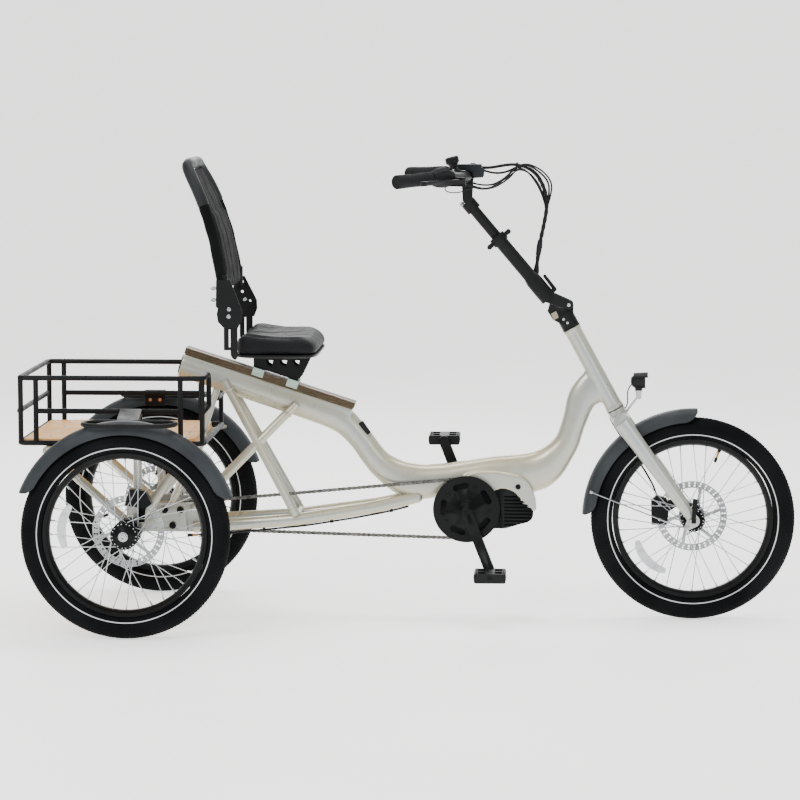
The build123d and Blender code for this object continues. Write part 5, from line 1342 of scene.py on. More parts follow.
# ---------------------------------------------------------------- front end
@dataclass
class FrontEnd:
    """Fork details, headlight and front brake details."""

    lamp: tuple[float, float] = (1270.0, 611.0)
    lamp_radius: float = 19.0

    def headlight(self) -> None:
        """Hooded lamp: a turned bowl with a lens, under a hood that reaches forward."""
        centre = np.array((self.lamp[0], 0.0, self.lamp[1]))
        ahead = unit(np.array((1.0, 0.0, 0.03)))
        r = self.lamp_radius
        bowl = turned(np.array([(-21.0, 5.0), (-20.0, 10.0), (-15.0, 15.0), (-6.0, 18.2), (6.0, r), (14.0, r),
                                (15.5, r - 1.2), (15.5, r - 3.0), (11.0, r - 4.0)]), centre, ahead, 40)
        lens = turned(np.array([(9.0, r - 3.4), (13.4, r - 3.4), (15.2, r - 6.0), (16.4, 8.0), (16.8, 2.0)]), centre,
                      ahead, 40)
        t = np.linspace(-1.0, 1.0, 21)
        reach = np.stack([np.linspace(-14.0, 22.0, 12)] * 21, axis=1)
        lean = np.linspace(0.0, 1.0, 12)[:, None]
        angle = np.radians(90.0 + 62.0 * t)[None] * np.ones((12, 1))
        outer = []
        for inset in (0.0, 1.8):
            radius = (r + 2.0 - inset) + 1.2 * lean
            points = np.stack([reach + centre[0], radius * np.cos(angle), radius * np.sin(angle) + centre[2]
                               + 0.8 * lean], axis=-1)
            outer.append(points)
        hood = grid(np.concatenate([outer[0], outer[1][:, ::-1]], axis=1))
        foot_path = np.stack([centre + np.array((-1.0, 0.0, z)) for z in (-38.0, -30.0, -22.0, -13.0)])
        foot = tube(foot_path, np.array((8.5, 9.5, 10.0, 10.0)), np.array((7.0, 7.5, 9.0, 11.0)), 20, square=4.0)
        add_piece("lamp_bowl", [bowl, hood, foot], PLASTIC, "headlight", ("headlight",))
        add_piece("lamp_lens", [lens], LENS, "headlight")
        lead = rounded(np.array([(1252.0, 0.0, 603.0), (1243.0, 4.0, 594.0), (1240.0, 7.0, 572.0), (1243.0, 8.0, 552.0),
                                 (1232.0, 8.0, 534.0)]), 8)
        add_piece("lamp_lead", [tube(lead, 1.6, 1.6, 10)], CABLE, "steering")

    def fork(self) -> None:
        """Skins of the fork, caliper, light bracket, axle lever and stem base, and the brake caliper bolts."""
        for node, slot in (("fork", "silver_ivory_paint"), ("front_caliper", "black_alloy"),
                           ("light_bracket", "spoke_steel"), ("qr_lever", "black_alloy"),
                           ("stem_base", "black_paint")):
            body = "axle_lever" if node == "qr_lever" else "steering"
            smooth_copy(node, body, NODE_FINISHES[node], bevel=0.5)
        places = [(1326.0, 25.2, 292.0), (1326.0, 25.2, 252.0)]
        add_piece("caliper_bolts", [bolts_along_y(places, -1.0, 4.5, 3.0)], STEEL, "steering")

    def build(self) -> None:
        """Build the front end's pieces."""
        self.fork()
        self.headlight()


# ---------------------------------------------------------------- handlebar
@dataclass
class Cockpit:
    """Handlepost, bars, grips, controls, bell and cables."""

    bar_x: float = 832.0
    bar_z: float = 1131.0
    grip_inner: tuple[float, float, float] = (786.0, 192.0, 1135.0)
    grip_outer: tuple[float, float, float] = (668.0, 334.0, 1127.0)
    post_foot: tuple[float, float] = (1040.0, 820.0)
    post_angle: float = 130.2
    sleeve_length: float = 60.0

    def on_grip(self, share: float, side: float) -> Array:
        """Point on a grip's axis, from its inner end (0) to the bar's tip (1)."""
        inner = np.array(self.grip_inner)
        point = inner + share * (np.array(self.grip_outer) - inner)
        return point * np.array((1.0, side, 1.0))

    def on_post(self, distance: float, offset: float = 0.0, y: float = 0.0) -> Array:
        """Point at a distance up the post's axis, and an offset square to it."""
        a = math.radians(self.post_angle)
        return np.array((self.post_foot[0] + distance * math.cos(a) - offset * math.sin(a), y,
                         self.post_foot[1] + distance * math.sin(a) + offset * math.cos(a)))

    def grips(self) -> None:
        """Rubber grips: a waisted sleeve with ribs at its outer end and a domed end cap."""
        shapes = []
        bar_run = float(np.linalg.norm(np.array(self.grip_outer) - np.array(self.grip_inner)))
        sleeve = self.sleeve_length / bar_run
        for side, low in ((-1.0, sleeve + 0.012), (1.0, 0.12)):
            start = self.on_grip(low, side)
            end = self.on_grip(1.0, side)
            length = float(np.linalg.norm(end - start)) + 2.5
            s = np.linspace(0.0, 1.0, 121)
            waist = 16.9 - 1.2 * np.sin(math.pi * s) ** 2
            ribs = 0.55 * (np.sin(s * length * 2 * math.pi / 5.2) > 0) * ((s > 0.12) & (s < 0.93))
            radius = waist + ribs + 0.5 * (s > 0.95)
            radius[-4:] = (16.8, 15.4, 12.5, 6.5)
            radius[:2] = (15.6, 16.4)
            shapes.append(turned(np.stack([s * length, radius], axis=-1), start, end - start, 40))
        add_piece("rubber_grips", shapes, GRIP, "handlebar", ("grips",), sharp=50.0)

    def throttle(self) -> None:
        """Twist sleeve that flares towards the middle of the bar, with flutes round it."""
        start = self.on_grip(0.03, -1.0)
        end = self.on_grip(self.sleeve_length / 184.6, -1.0)
        direction = end - start
        length = float(np.linalg.norm(direction))
        s = np.linspace(0.0, 1.0, 40)
        radius = np.interp(s, (0.0, 0.05, 0.35, 0.6, 0.74, 0.86, 1.0), (24.2, 25.4, 25.2, 23.0, 20.0, 17.6, 16.6))
        radius[0] = 21.0
        sleeve = turned(np.stack([s * length, radius], axis=-1), start, direction, 72)
        axis = unit(direction)
        rel = sleeve.points - start
        along_axis = rel @ axis
        radial = rel - along_axis[:, None] * axis
        turn = np.tile(ring_angles(72), 40)
        depth = 0.9 * (np.cos(turn * 12) > 0.2) * ((along_axis > 8.0) & (along_axis < length - 5.0))
        sleeve.points = sleeve.points - unit(radial) * depth[:, None]
        add_piece("twist_sleeve", [sleeve], GRIP, "throttle", ("throttle",), sharp=50.0)
        ring = turned(np.array([(-3.4, 12.5), (-3.4, 17.0), (-0.6, 17.5), (-0.6, 12.5)]), start, direction, 40)
        add_piece("throttle_collar", [ring], STEEL, "handlebar")

    def bell(self) -> None:
        """Bell: a flat base, a dark gap and a domed cap, in line with its tilted post."""
        axis = np.array((math.cos(math.radians(105.0)), 0.0, math.sin(math.radians(105.0))))
        foot = np.array((802.0, -66.0, 1146.0)) + axis * 12.6
        base = turned(np.array([(-3.0, 9.0), (-1.0, 10.0), (0.4, 10.5), (3.0, 11.0), (5.6, 14.2), (6.6, 14.2),
                                (7.2, 12.4)]), foot, axis, 40)
        cap = turned(np.array([(7.4, 12.6), (7.6, 16.6), (9.2, 17.4), (21.6, 17.2), (23.6, 15.4), (24.6, 11.0),
                               (24.8, 4.0)]), foot, axis, 40)
        neck = turned(np.array([(6.6, 6.0), (8.8, 6.0)]), foot, axis, 20)
        add_piece("bell_cup", [base, neck, cap], PLASTIC, "bell", ("bell",))

    def display(self) -> None:
        """Dark glass on the display's top, a snout on its front, the display and stem skins, and the clamp's bolts."""
        plate = np.array([(812.0, -28.0, 1161.6), (834.0, -28.0, 1161.6), (834.0, 28.0, 1161.6), (812.0, 28.0, 1161.6)])
        glass = prism(plate, (0.0, 0.0, 1.0))
        add_piece("display_glass", [glass], SCREEN, "handlebar", bevel=0.4)
        snout = side_plate([(846, 1158), (870, 1154), (875, 1148), (873, 1129), (848, 1127), (844, 1134)], -33.0, 33.0)
        add_piece("display_snout", [snout], GREY, "handlebar", bevel=2.0)
        smooth_copy("display", "handlebar", GREY, bevel=0.8)
        smooth_copy("stem", "handlebar", POWDER_BLACK, bevel=0.8)
        heads = []
        for side in (-1.0, 1.0):
            places = [(self.bar_x - 8.0, side * 20.8, self.bar_z - 22.0), (self.bar_x - 14.0, side * 23.8, 1060.0)]
            heads.append(bolts_along_y(places, side, 4.4, 3.0))
        add_piece("stem_bolts", heads, STEEL, "handlebar")

    def post(self) -> None:
        """Handlepost skin, its band, clamp bolts, hinge bolts and latch."""
        smooth_copy("handlepost", "handlepost", POWDER_BLACK, bevel=0.8)
        smooth_copy("tilt_lever", "tilt_lever", ALLOY_BLACK, bevel=0.5)
        smooth_copy("handlebar", "handlebar", ALLOY_BLACK)
        smooth_copy("control_pods", "handlebar", PLASTIC, bevel=0.8)
        for side in ("left", "right"):
            smooth_copy(f"brake_lever_{side}", f"{side}_brake_lever", ALLOY_BLACK)
        axis = unit(self.on_post(10.0) - self.on_post(0.0))
        band = turned(np.array([(0.0, 16.2), (0.0, 21.0), (5.0, 20.6), (18.0, 17.6), (19.0, 16.2)]),
                      self.on_post(57.5), axis, 40, loop=True)
        add_piece("post_shoulder", [band], POWDER_BLACK, "handlepost")
        tag = side_plate([(1045, 783), (1058, 790), (1065, 774), (1052, 767)], -16.2, -14.6)
        pad = side_plate([(1037, 792), (1041, 807), (1060, 801), (1084, 793.6), (1088, 789), (1060, 792), (1043, 800)],
                         -15.5, 15.5)
        add_piece("hinge_pad", [pad], PLASTIC, "steering", bevel=0.5)
        add_piece("hinge_tag", [tag], TAG, "steering", bevel=0.3)
        add_piece("stem_base_bolts", [bolts_along_y([(1077.0, -22.6, 770.0), (1087.0, -22.9, 761.0)], -1.0, 3.6, 2.4)],
                  STEEL, "steering")
        heads = []
        for side in (-1.0, 1.0):
            spots = [tuple(self.on_post(28.0, 6.0, side * 16.2)), tuple(self.on_post(8.0, 4.0, side * 16.2)),
                     (1090.0, side * 18.6, 806.0)]
            heads.append(bolts_along_y(spots, side, 4.6, 2.6))
        add_piece("hinge_bolts", heads, STEEL, "handlepost")
        lugs = []
        for offset in (31.0, -31.0):
            middle = self.on_post(198.0, offset)
            lugs.append(tube(np.stack([middle + np.array((0.0, y, 0.0)) for y in (-7.5, 0.0, 7.5)]), 6.4, 6.4, 20,
                             reference=(1.0, 0.0, 0.0)))
        add_piece("clamp_barrels", lugs, PLASTIC, "handlepost", bevel=0.6)

    def cables(self) -> None:
        """Cables from the display and the controls to a tie, then a sleeved bundle down to the
        handlepost. Each follows its route inside its corners."""
        loom = [(868.5, 0, 1153), (888, 0, 1152), (918, 1, 1158), (952, 3, 1162), (985, 5, 1153), (1012, 8, 1130),
                (1029, 12, 1095), (1034, 17, 1052), (1026, 22, 1008), (1016, 25, 962), (1010, 26, 918), (1006, 25, 884)]
        line = rounded(np.array(loom, float), 14)
        share = np.linspace(0.0, 1.0, len(line))
        sleeve_part = share > 0.46
        ripple = 0.55 * np.sin(share * 150.0)
        radius = np.where(sleeve_part, 5.2 + ripple, 3.9)
        main_cable = tube(line, radius, radius, 18)
        strands: list[Surface] = [main_cable]
        routes = [
            ([(862, 8, 1150), (890, 10, 1138), (930, 9, 1140), (962, 7, 1158), (996, 7, 1150), (1024, 10, 1118),
              (1032, 14, 1080)], 3.0),
            ([(836, -44, 1112), (872, -38, 1096), (912, -24, 1112), (946, -6, 1146), (972, 2, 1163), (1002, 6, 1152),
              (1036, 8, 1122), (1040, 12, 1090), (1034, 15, 1060)], 2.6),
            ([(836, 44, 1114), (880, 40, 1102), (924, 26, 1122), (954, 12, 1156), (984, 8, 1164), (1022, 9, 1146),
              (1046, 11, 1116), (1044, 14, 1084), (1035, 16, 1056)], 2.3),
            ([(806, -96, 1128), (846, -74, 1102), (896, -46, 1100), (938, -16, 1126), (958, -2, 1152), (980, 3, 1148),
              (1006, 7, 1116), (1024, 12, 1078), (1030, 15, 1052)], 2.3),
            ([(806, 96, 1128), (850, 78, 1106), (900, 48, 1106), (940, 20, 1132), (960, 8, 1150), (990, 6, 1140),
              (1014, 8, 1110), (1026, 13, 1076), (1031, 16, 1052)], 2.0),
            ([(788, -170, 1122), (776, -150, 1104), (788, -120, 1094), (812, -84, 1092), (836, -50, 1100),
              (850, -36, 1106)], 1.5),
        ]
        for route, size in routes:
            strands.append(tube(rounded(np.array(route, float), 12), size, size, 10))
        tie = turned(np.array([(-3.0, 5.2), (-2.6, 7.6), (2.6, 7.6), (3.0, 5.2)]), np.array((957.0, 3.0, 1159.0)),
                     np.array((1.0, 0.05, -0.08)), 24)
        connector = tube(np.array([(1017.0, 24.6, 968.0), (1014.5, 25.4, 950.0), (1011.5, 26.0, 930.0)]),
                         np.array((6.4, 7.2, 6.4)), np.array((6.4, 7.6, 6.4)), 20, square=3.0)
        end = turned(np.array([(-12.0, 6.0), (0.0, 7.6), (6.0, 7.6), (9.0, 6.0)]), np.array((1007.0, 25.0, 890.0)),
                     np.array((-0.1, 0.0, -1.0)), 20)
        bundle = add_piece("cable_bundle", strands, CABLE, None, ("cable_loom",))
        tuple(to_frame(np.array((1012.0, 0.0, 890.0))))
        tuple(to_frame(np.array((1012.0, 0.0, 1040.0))))
        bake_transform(bundle)
        add_piece("cable_tie", [tie], PLASTIC, "handlebar")
        plug = add_piece("cable_connector", [connector, end], PLASTIC, None)
        tuple(to_frame(np.array((1012.0, 0.0, 890.0))))
        tuple(to_frame(np.array((1012.0, 0.0, 1040.0))))
        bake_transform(plug)

    def build(self) -> None:
        """Build the cockpit's pieces."""
        self.post()
        self.grips()
        self.throttle()
        self.bell()
        self.display()
        self.cables()


# ---------------------------------------------------------------- seat
def inflate(made: bpy.types.Object, voxel: float, pressure: float, cap: float) -> None:
    """Swell a closed shape like a stuffed cover: an even skin, 20 steps of cloth under pressure
    with no weight, and each point's travel held to a cap.

    Args:
        made: the object, at the origin.
        voxel: size of the skin's cells in millimetres.
        pressure: the cloth's inner pressure.
        cap: furthest that a point may move, in millimetres.
    """
    scene = bpy.context.scene
    skin = made.modifiers.new("skin", "REMESH")
    skin.mode = "VOXEL"
    skin.voxel_size = voxel * MM
    skinned = evaluated_mesh(made)
    made.modifiers.clear()
    material = made.data.materials[0]
    made.data = skinned
    before = np.empty(len(skinned.vertices) * 3)
    skinned.vertices.foreach_get("co", before)
    after = before.copy()
    cloth = made.modifiers.new("cover", "CLOTH")
    cloth.settings.use_pressure = True
    cloth.settings.uniform_pressure_force = pressure
    cloth.settings.effector_weights.gravity = 0.0
    cloth.settings.quality = 5
    cloth.point_cache.frame_start = 1
    cloth.point_cache.frame_end = CLOTH_FRAMES
    for step in range(1, CLOTH_FRAMES + 1):
        scene.frame_set(step)
    result = evaluated_mesh(made)
    result.vertices.foreach_get("co", after)
    made.modifiers.clear()
    bpy.data.meshes.remove(result)
    scene.frame_set(1)
    moved = (after - before).reshape(-1, 3)
    length = np.linalg.norm(moved, axis=1, keepdims=True)
    limit = cap * MM
    moved = moved * np.minimum(1.0, limit / np.maximum(length, 1e-9))
    skinned.vertices.foreach_set("co", (before.reshape(-1, 3) + moved).ravel())
    skinned.materials.clear()
    skinned.materials.append(material)
    smoothing = made.modifiers.new("smooth", "SUBSURF")
    smoothing.levels = 1
    smoothing.render_levels = 1
    fine = evaluated_mesh(made)
    made.modifiers.clear()
    made.data = fine
    fine.shade_smooth()


def press_line(made: bpy.types.Object, line: Array, depth: float, width: float) -> None:
    """Press a sewn line into a soft piece: each point moves inwards along its normal by the
    depth times a bell curve of its distance from the line.

    Args:
        made: the soft piece.
        line: rows of the sewn line, in vehicle millimetres.
        depth: depth at the line in millimetres.
        width: reach of the dent in millimetres.
    """
    mesh = made.data
    count = len(mesh.vertices)
    points = np.empty(count * 3)
    normals = np.empty(count * 3)
    mesh.vertices.foreach_get("co", points)
    mesh.vertices.foreach_get("normal", normals)
    points = points.reshape(-1, 3)
    normals = normals.reshape(-1, 3)
    targets = to_frame(line)
    nearest = np.full(count, np.inf)
    for chunk in np.array_split(targets, max(1, len(targets) // 40)):
        gaps = np.linalg.norm(points[:, None] - chunk[None], axis=2).min(axis=1)
        nearest = np.minimum(nearest, gaps)
    dent = depth * MM * np.exp(-((nearest / (width * MM)) ** 2))
    mesh.vertices.foreach_set("co", (points - normals * dent[:, None]).ravel())
    mesh.update()


@dataclass
class Seat:
    """Seat cushion, back pad, hoop sleeves and recline fittings."""

    rear_x: float = 248.0
    front_x: float = 467.0
    half: float = 195.0
    bottom: float = 690.0
    top: float = 742.0

    def stacked(self, outline_x: tuple[float, float], half_y: float, levels: list[tuple[float, float]]) -> Surface:
        """Squared oval outlines stacked on each other.

        Args:
            outline_x: the outline's rear and front.
            half_y: its half width.
            levels: height and size of each outline, from the lowest.

        Returns:
            The closed solid.
        """
        middle = sum(outline_x) / 2
        half_x = (outline_x[1] - outline_x[0]) / 2
        angles = ring_angles(96)
        wide = np.sign(np.cos(angles)) * np.abs(np.cos(angles)) ** 0.4
        deep = np.sign(np.sin(angles)) * np.abs(np.sin(angles)) ** 0.3
        rows = [np.stack([middle + half_x * size * wide, half_y * size * deep, np.full(96, z)], axis=-1)
                for z, size in levels]
        return grid(np.stack(rows))

    def cushion_form(self, inset: float) -> Surface:
        """Crowned cushion: rounded outlines stacked from its base to its crown. The outline is a
        squared oval that pulls in towards the top of its nose; its rear corners rise as bolsters,
        and its middle is hollowed where the rider sits."""
        middle_x = (self.rear_x + self.front_x) / 2
        half_x = (self.front_x - self.rear_x) / 2 - inset
        half_y = self.half - inset
        angles = ring_angles(96)
        wide = np.sign(np.cos(angles)) * np.abs(np.cos(angles)) ** 0.36
        deep = np.sign(np.sin(angles)) * np.abs(np.sin(angles)) ** 0.3
        rows = []
        for level, scale, pull in ((0.0, 0.96, 0.0), (0.08, 0.985, 0.0), (0.3, 1.0, 0.0), (0.55, 1.0, 3.0),
                                   (0.78, 0.985, 9.0), (0.93, 0.95, 16.0), (1.0, 0.88, 20.0), (1.0, 0.66, 16.0),
                                   (1.0, 0.44, 11.0), (1.0, 0.22, 5.0), (1.0, 0.05, 0.0)):
            x = middle_x + half_x * scale * wide
            y = half_y * scale * deep
            ahead = np.clip((x - middle_x) / half_x, 0.0, 1.0)
            rear = np.clip((middle_x + 20.0 - x) / half_x, 0.0, 1.0)
            side = np.clip(np.abs(y) / half_y, 0.0, 1.0)
            bolster = 6.0 * side**4 + 20.0 * rear**1.5 * side**3
            hollow = -7.0 * (1 - side**2) * np.clip(1 - np.abs(x - middle_x + 30) / half_x, 0.0, 1.0)
            crown = self.top - 14.0 + bolster + hollow
            z = self.bottom + inset * 0.4 + (crown - self.bottom - inset * 0.4) * level
            rows.append(np.stack([x - pull * ahead, y, z], axis=-1))
        return grid(np.stack(rows))

    def cushion(self) -> None:
        """Vinyl cushion with seams pressed into its sides and top, on its tray."""
        made = add_piece("cushion_cover", [self.cushion_form(4.0)], VINYL, "seat", ("seat_cushion",))
        inflate(made, 4.5, 4.0, 4.0)
        for side in (-1.0, 1.0):
            seam = through(np.array([(256.0, side * 197.0, 751.0), (300.0, side * 198.0, 738.0),
                                     (352.0, side * 199.0, 724.0), (362.0, side * 199.0, 714.0),
                                     (364.0, side * 199.0, 694.0)]), 14)
            press_line(made, seam, 3.2, 5.0)
        angles = ring_angles(240)
        middle_x = (self.rear_x + self.front_x) / 2
        rim = np.stack([middle_x - 6.0 + 92.0 * np.sign(np.cos(angles)) * np.abs(np.cos(angles)) ** 0.36,
                        174.0 * np.sign(np.sin(angles)) * np.abs(np.sin(angles)) ** 0.3,
                        np.full(240, 736.0)], axis=-1)
        press_line(made, rim, 2.2, 4.5)
        for y in (-60.0, 60.0):
            channel = np.stack([np.linspace(middle_x - 84, middle_x + 70, 60), np.full(60, y),
                                np.full(60, 727.0)], axis=-1)
            press_line(made, channel, 3.0, 6.0)
        tray = self.stacked((252.0, self.front_x - 7.0), 188.0,
                            [(672.5, 0.5), (680.6, 0.56), (681.0, 0.93), (682.5, 0.98), (685.5, 1.0), (689.4, 1.0)])
        add_piece("seat_tray", [tray], PLASTIC, "seat", ("seat_pan",))

    def posts(self) -> None:
        """Two uprights on each side of the tray, under the plate that carries the backrest."""
        shapes = []
        for side in (-1.0, 1.0):
            y = side * 196.6
            front = through(np.array([(262.0, y - side * 6.0, 686.0), (256.0, y, 692.0), (255.5, y, 712.0),
                                      (255.5, y, 736.0), (255.5, y, 760.0)]), 6)
            rear = np.stack([np.array((236.3, y, z)) for z in (703.0, 722.0, 741.0, 760.0)])
            shapes.append(tube(front, 3.3, 9.0, 20, square=3.4))
            shapes.append(tube(rear, 3.3, 6.4, 20, square=3.4))
            shapes.append(tube(np.stack([np.array((x, y, 707.0)) for x in (231.0, 243.0, 256.0)]), 2.6, 4.0, 12))
            low, high = sorted((side * 195.6, side * 199.9))
            outline = [(232, 755), (264, 755), (270, 778), (266, 796), (240, 796), (228, 776)]
            shapes.append(side_plate(outline, low, high))
        add_piece("recline_posts", shapes, POWDER_BLACK, "seat", bevel=0.5)

    def hoop(self, z: Array) -> tuple[Array, Array]:
        """X and half width of the backrest's hoop at each height."""
        heights = (862.0, 935.0, 990.0, 1070.0, 1110.0, 1150.0, 1166.0)
        x = np.interp(z, heights, (227.0, 214.0, 202.0, 175.5, 157.5, 136.0, 130.0))
        half = np.interp(z, heights, (187.0, 182.0, 176.0, 164.0, 154.0, 132.0, 110.0))
        return x, half

    def back_form(self, inset: float) -> Surface:
        """Back pad: a squared oval section carried up the hoop's line. It is thicker in its lower
        part, and its sides stand forward a little, as a sling between the hoop's tubes."""
        z = np.linspace(842.0 + inset, 1156.0 - inset, 46)
        x, half = self.hoop(z)
        width = half - 8.0 - inset
        path = np.stack([x, np.zeros(len(z)), z], axis=-1)
        run = unit(np.gradient(path, axis=0))
        normal = np.cross(np.array((0.0, 1.0, 0.0)), run)
        angles = ring_angles(64)
        wide = np.sign(np.cos(angles)) * np.abs(np.cos(angles)) ** 0.7
        thick = np.sign(np.sin(angles)) * np.abs(np.sin(angles)) ** 0.8
        depth = np.interp(z, (874.0, 900.0, 1030.0, 1052.0, 1156.0), (12.0, 15.0, 15.0, 9.0, 7.0)) - inset * 0.6
        sling = 6.0 * wide**2 - 3.0
        points = (path[:, None] + width[:, None, None] * wide[None, :, None] * np.array((0.0, 1.0, 0.0))
                  + (depth[:, None] * thick[None] + sling[None])[..., None] * normal[:, None])
        return grid(points)

    def back(self) -> None:
        """Net-faced back pad, and the hoop's padded sleeve: cloth below and a grey grip above."""
        made = add_piece("back_cover", [self.back_form(4.0)], PAD_NET, "backrest", ("back_pad",))
        inflate(made, 4.5, 4.0, 4.0)
        z = np.linspace(880.0, 1140.0, 120)
        for y in (-95.0, 0.0, 95.0):
            press_line(made, np.stack([self.hoop(z)[0] + 12.0, np.full(120, y), z], axis=-1), 2.4, 6.0)
        across = np.linspace(-140.0, 140.0, 120)
        press_line(made, np.stack([np.full(120, 192.0), across, np.full(120, 1046.0)], axis=-1), 2.6, 6.0)
        z = np.array((873.0, 935.0, 990.0, 1040.0, 1070.0, 1110.0, 1142.0, 1158.0))
        x, half = self.hoop(z)
        left = np.stack([x, half, z], axis=-1)
        hoop = np.concatenate([left, [(133.0, 100.0, 1164.0), (133.0, 60.0, 1164.5)]])
        line = rounded(np.concatenate([hoop, (hoop * np.array((1.0, -1.0, 1.0)))[::-1]]), 10)
        low = line[:, 2] < 1062.0
        left_end = int(np.argmin(low))
        right_end = len(line) - int(np.argmin(low[::-1]))
        lower = []
        for part in (line[:left_end], line[right_end:]):
            share = np.linspace(0.0, 1.0, len(part))
            size = 13.6 + 0.5 * np.sin(share * 18.0)
            lower.append(tube(part, size, size, 28, reference=(1.0, 0.02, 0.35)))
        cloth = add_piece("hoop_cloth", lower, CLOTH, "backrest")
        upper = line[left_end - 1:right_end + 1]
        size = np.full(len(upper), 14.6)
        size[:2] = (13.0, 14.4)
        size[-2:] = (14.4, 13.0)
        grip = add_piece("hoop_grip", [tube(upper, size, size, 28, reference=(1.0, 0.02, 0.35))], SLEEVE,
                         "backrest")

    def plates(self) -> None:
        """Recline plates: a wide one on the right, and one with two holes and a curved slot on
        the left."""
        right = side_plate([(212, 879), (247, 879), (269, 823), (277, 801), (276, 778), (265, 758), (233, 757),
                            (216, 774), (213, 794), (216, 808), (211, 812)], -204.3, -200.3)
        left = side_plate([(214, 863), (243, 863), (262, 826), (275, 800), (276, 778), (268, 757), (236, 757),
                           (216, 776), (212, 800)], 200.3, 204.3)
        lugs = []
        for side in (-1.0, 1.0):
            x, half = self.hoop(np.array((866.0,)))
            middle = np.array((float(x[0]), side * float(half[0]), 848.0))
            lugs.append(turned(np.array([(-15.0, 9.0), (15.5, 9.0)]), middle, np.array((0.0, side, 0.0)), 28))
            foot = np.array([(229.0, side * 187.0, z) for z in (838.0, 852.0, 868.0, 890.0)])
            lugs.append(tube(foot, 11.0, 11.0, 24))
        add_piece("recline_plate_right", [right, *lugs], POWDER_BLACK, "backrest", ("back_frame",),
                  bevel=0.6)
        made = add_piece("recline_plate_left", [left], POWDER_BLACK, "backrest")
        arc = np.radians(np.linspace(38.0, -38.0, 9))
        slot = [(247.0 + 14.0 * math.cos(a), 792.0 + 16.0 * math.sin(a)) for a in arc]
        slot += [(247.0 + 9.0 * math.cos(a), 792.0 + 11.0 * math.sin(a)) for a in arc[::-1]]
        cutters = [side_plate(slot, 199.0, 206.0)]
        for z in (848.0, 822.0):
            cutters.append(turned(np.array([(0.0, 3.6), (8.0, 3.6)]), np.array((237.0, 199.0, z)),
                                  np.array((0.0, 1.0, 0.0)), 20))
        cut_out(made, join(cutters))
        round_edges(made, 0.6, 38.0)

    def fittings(self) -> None:
        """Recline screws, rear knobs and the sliders."""
        smooth_copy("slider_blocks", "seat", SLIDER, bevel=0.8)
        smooth_copy("seat_bracket", "seat", POWDER_BLACK, bevel=0.5)
        screws = [bolts_along_y([(244.0, -204.4, 806.0), (243.0, -204.4, 788.0)], -1.0, 5.2, 2.6),
                  bolts_along_y([(244.0, 200.2, 801.0), (243.0, 200.2, 783.0)], -1.0, 5.2, 2.6)]
        knobs = []
        for z in (858.0, 829.0):
            knobs.append(turned(np.array([(-12.0, 3.0), (4.0, 3.0), (4.6, 5.4), (9.5, 5.4), (10.2, 4.4), (15.0, 3.2)]),
                                np.array((213.0, -199.0, z)), np.array((-1.0, 0.0, 0.0)), 16))
        add_piece("recline_screws", screws, STEEL, "backrest")
        add_piece("recline_knobs", knobs, STEEL, "backrest")

    def build(self) -> None:
        """Build the seat's pieces."""
        self.cushion()
        self.posts()
        self.back()
        self.plates()
        self.fittings()


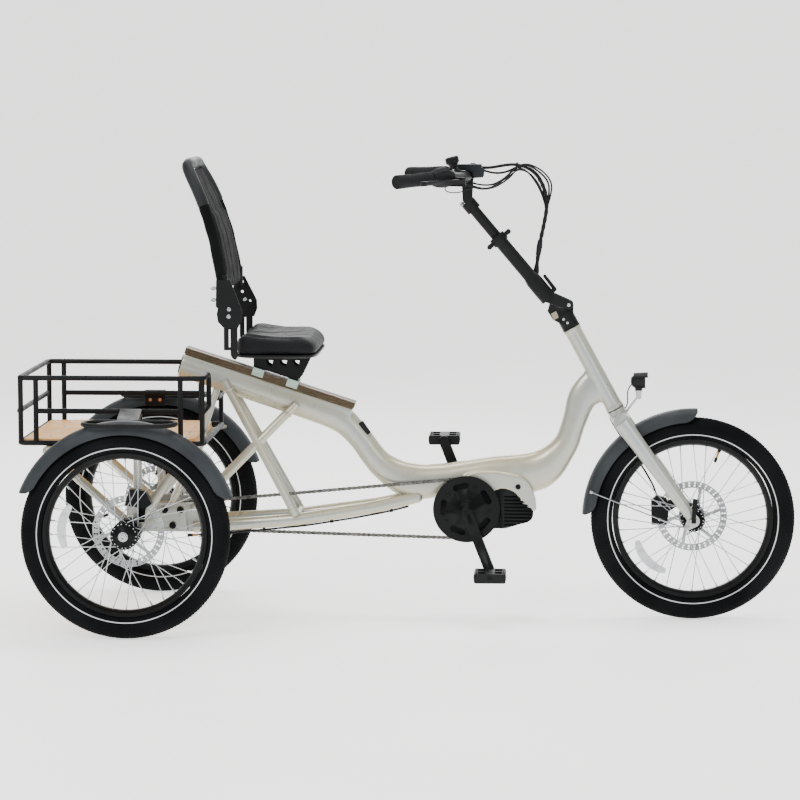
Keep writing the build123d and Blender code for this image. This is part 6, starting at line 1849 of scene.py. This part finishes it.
# ---------------------------------------------------------------- studio
@dataclass
class Studio:
    """Pale floor, soft lights and the camera."""

    camera_place: tuple[float, float, float] = (0.35025, -7.7503, 1.3874)
    camera_pitch: float = 0.1063
    camera_yaw: float = 0.049
    lens: float = 137.27

    def floor(self) -> None:
        """Large floor that rises behind the vehicle in a smooth sweep."""
        y = np.linspace(-9000.0, 9000.0, 41)
        rise = np.clip((y - 4200.0) / 4800.0, 0.0, 1.0)
        z = -0.3 + 5200.0 * rise**2.6
        x = np.linspace(-11000.0, 12000.0, 3)
        points = np.stack([np.broadcast_to(x[None], (41, 3)), np.broadcast_to(y[:, None], (41, 3)),
                           np.broadcast_to(z[:, None], (41, 3))], axis=-1)
        sheet = grid(points, close_v=False, caps=False)
        mesh = bpy.data.meshes.new("studio_floor")
        mesh.from_pydata(to_frame(sheet.points).tolist(), [], sheet.faces[0].tolist())
        mesh.shade_smooth()
        mesh.materials.append(FLOOR.material())
        made = bpy.data.objects.new("studio_floor", mesh)
        bpy.context.scene.collection.objects.link(made)

    def light(self, name: str, place: tuple[float, float, float], aim: tuple[float, float, float], power: float,
              size: tuple[float, float]) -> None:
        """One soft rectangular light that points at a place."""
        lamp = bpy.data.lights.new(name, "AREA")
        lamp.shape = "RECTANGLE"
        lamp.size, lamp.size_y = size
        lamp.energy = power
        made = bpy.data.objects.new(name, lamp)
        bpy.context.scene.collection.objects.link(made)
        step = np.array(aim, float) - np.array(place, float)
        made.location = place
        made.rotation_euler = (math.acos(-step[2] / float(np.linalg.norm(step))), 0.0,
                               math.atan2(step[1], step[0]) - math.pi / 2)

    def build(self) -> None:
        """Build the studio."""
        self.floor()
        world = bpy.data.worlds.new("studio")
        world.use_nodes = True
        back = world.node_tree.nodes["Background"]
        back.inputs["Color"].default_value = (1.0, 1.0, 1.0, 1.0)
        back.inputs["Strength"].default_value = 0.8
        bpy.context.scene.world = world
        self.light("key_softbox", (-2.2, -3.6, 3.8), (0.0, 0.0, 0.5), 150.0, (2.6, 1.8))
        self.light("fill_softbox", (2.6, -4.2, 1.6), (0.1, 0.0, 0.5), 45.0, (2.0, 2.4))
        self.light("top_softbox", (0.2, 0.6, 4.2), (0.0, 0.0, 0.4), 130.0, (3.4, 1.6))
        self.light("rear_softbox", (-0.8, 4.0, 2.6), (0.0, 0.0, 0.6), 80.0, (3.0, 1.6))
        camera = bpy.data.cameras.new("camera")
        camera.lens = self.lens
        camera.sensor_width = 36.0
        camera.clip_end = 60.0
        made = bpy.data.objects.new("camera", camera)
        made.location = self.camera_place
        made.rotation_euler = (math.pi / 2 - self.camera_pitch, 0.0, self.camera_yaw)
        bpy.context.scene.collection.objects.link(made)
        bpy.context.scene.camera = made


def main() -> None:
    """Build the whole model and the studio."""
    logging.basicConfig(level=logging.INFO, format="%(message)s")
    Studio().build()
    dress_nodes()
    Wheel("front", "front_wheel", 0.0, flange_radius=30.0, flange_low=-34.0, flange_high=24.0,
          valve_angle=69.0, reflector_angle=223.0, reflector_y=-9.0).build()
    Wheel("rear_left", "rear_left_wheel", 350.0, flange_radius=34.0, flange_low=-24.0, flange_high=24.0,
          valve_angle=200.0, reflector_angle=40.0, reflector_y=9.0).build()
    Wheel("rear_right", "rear_right_wheel", -350.0, flange_radius=34.0, flange_low=-24.0, flange_high=24.0,
          valve_angle=0.0, reflector_angle=172.0, reflector_y=-9.0).build()
    MainFrame().build()
    RearFrame().build()
    Fenders().build()
    Carrier().build()
    Drive().build()
    FrontEnd().build()
    Cockpit().build()
    Seat().build()


if __name__ == "__main__":
    main()
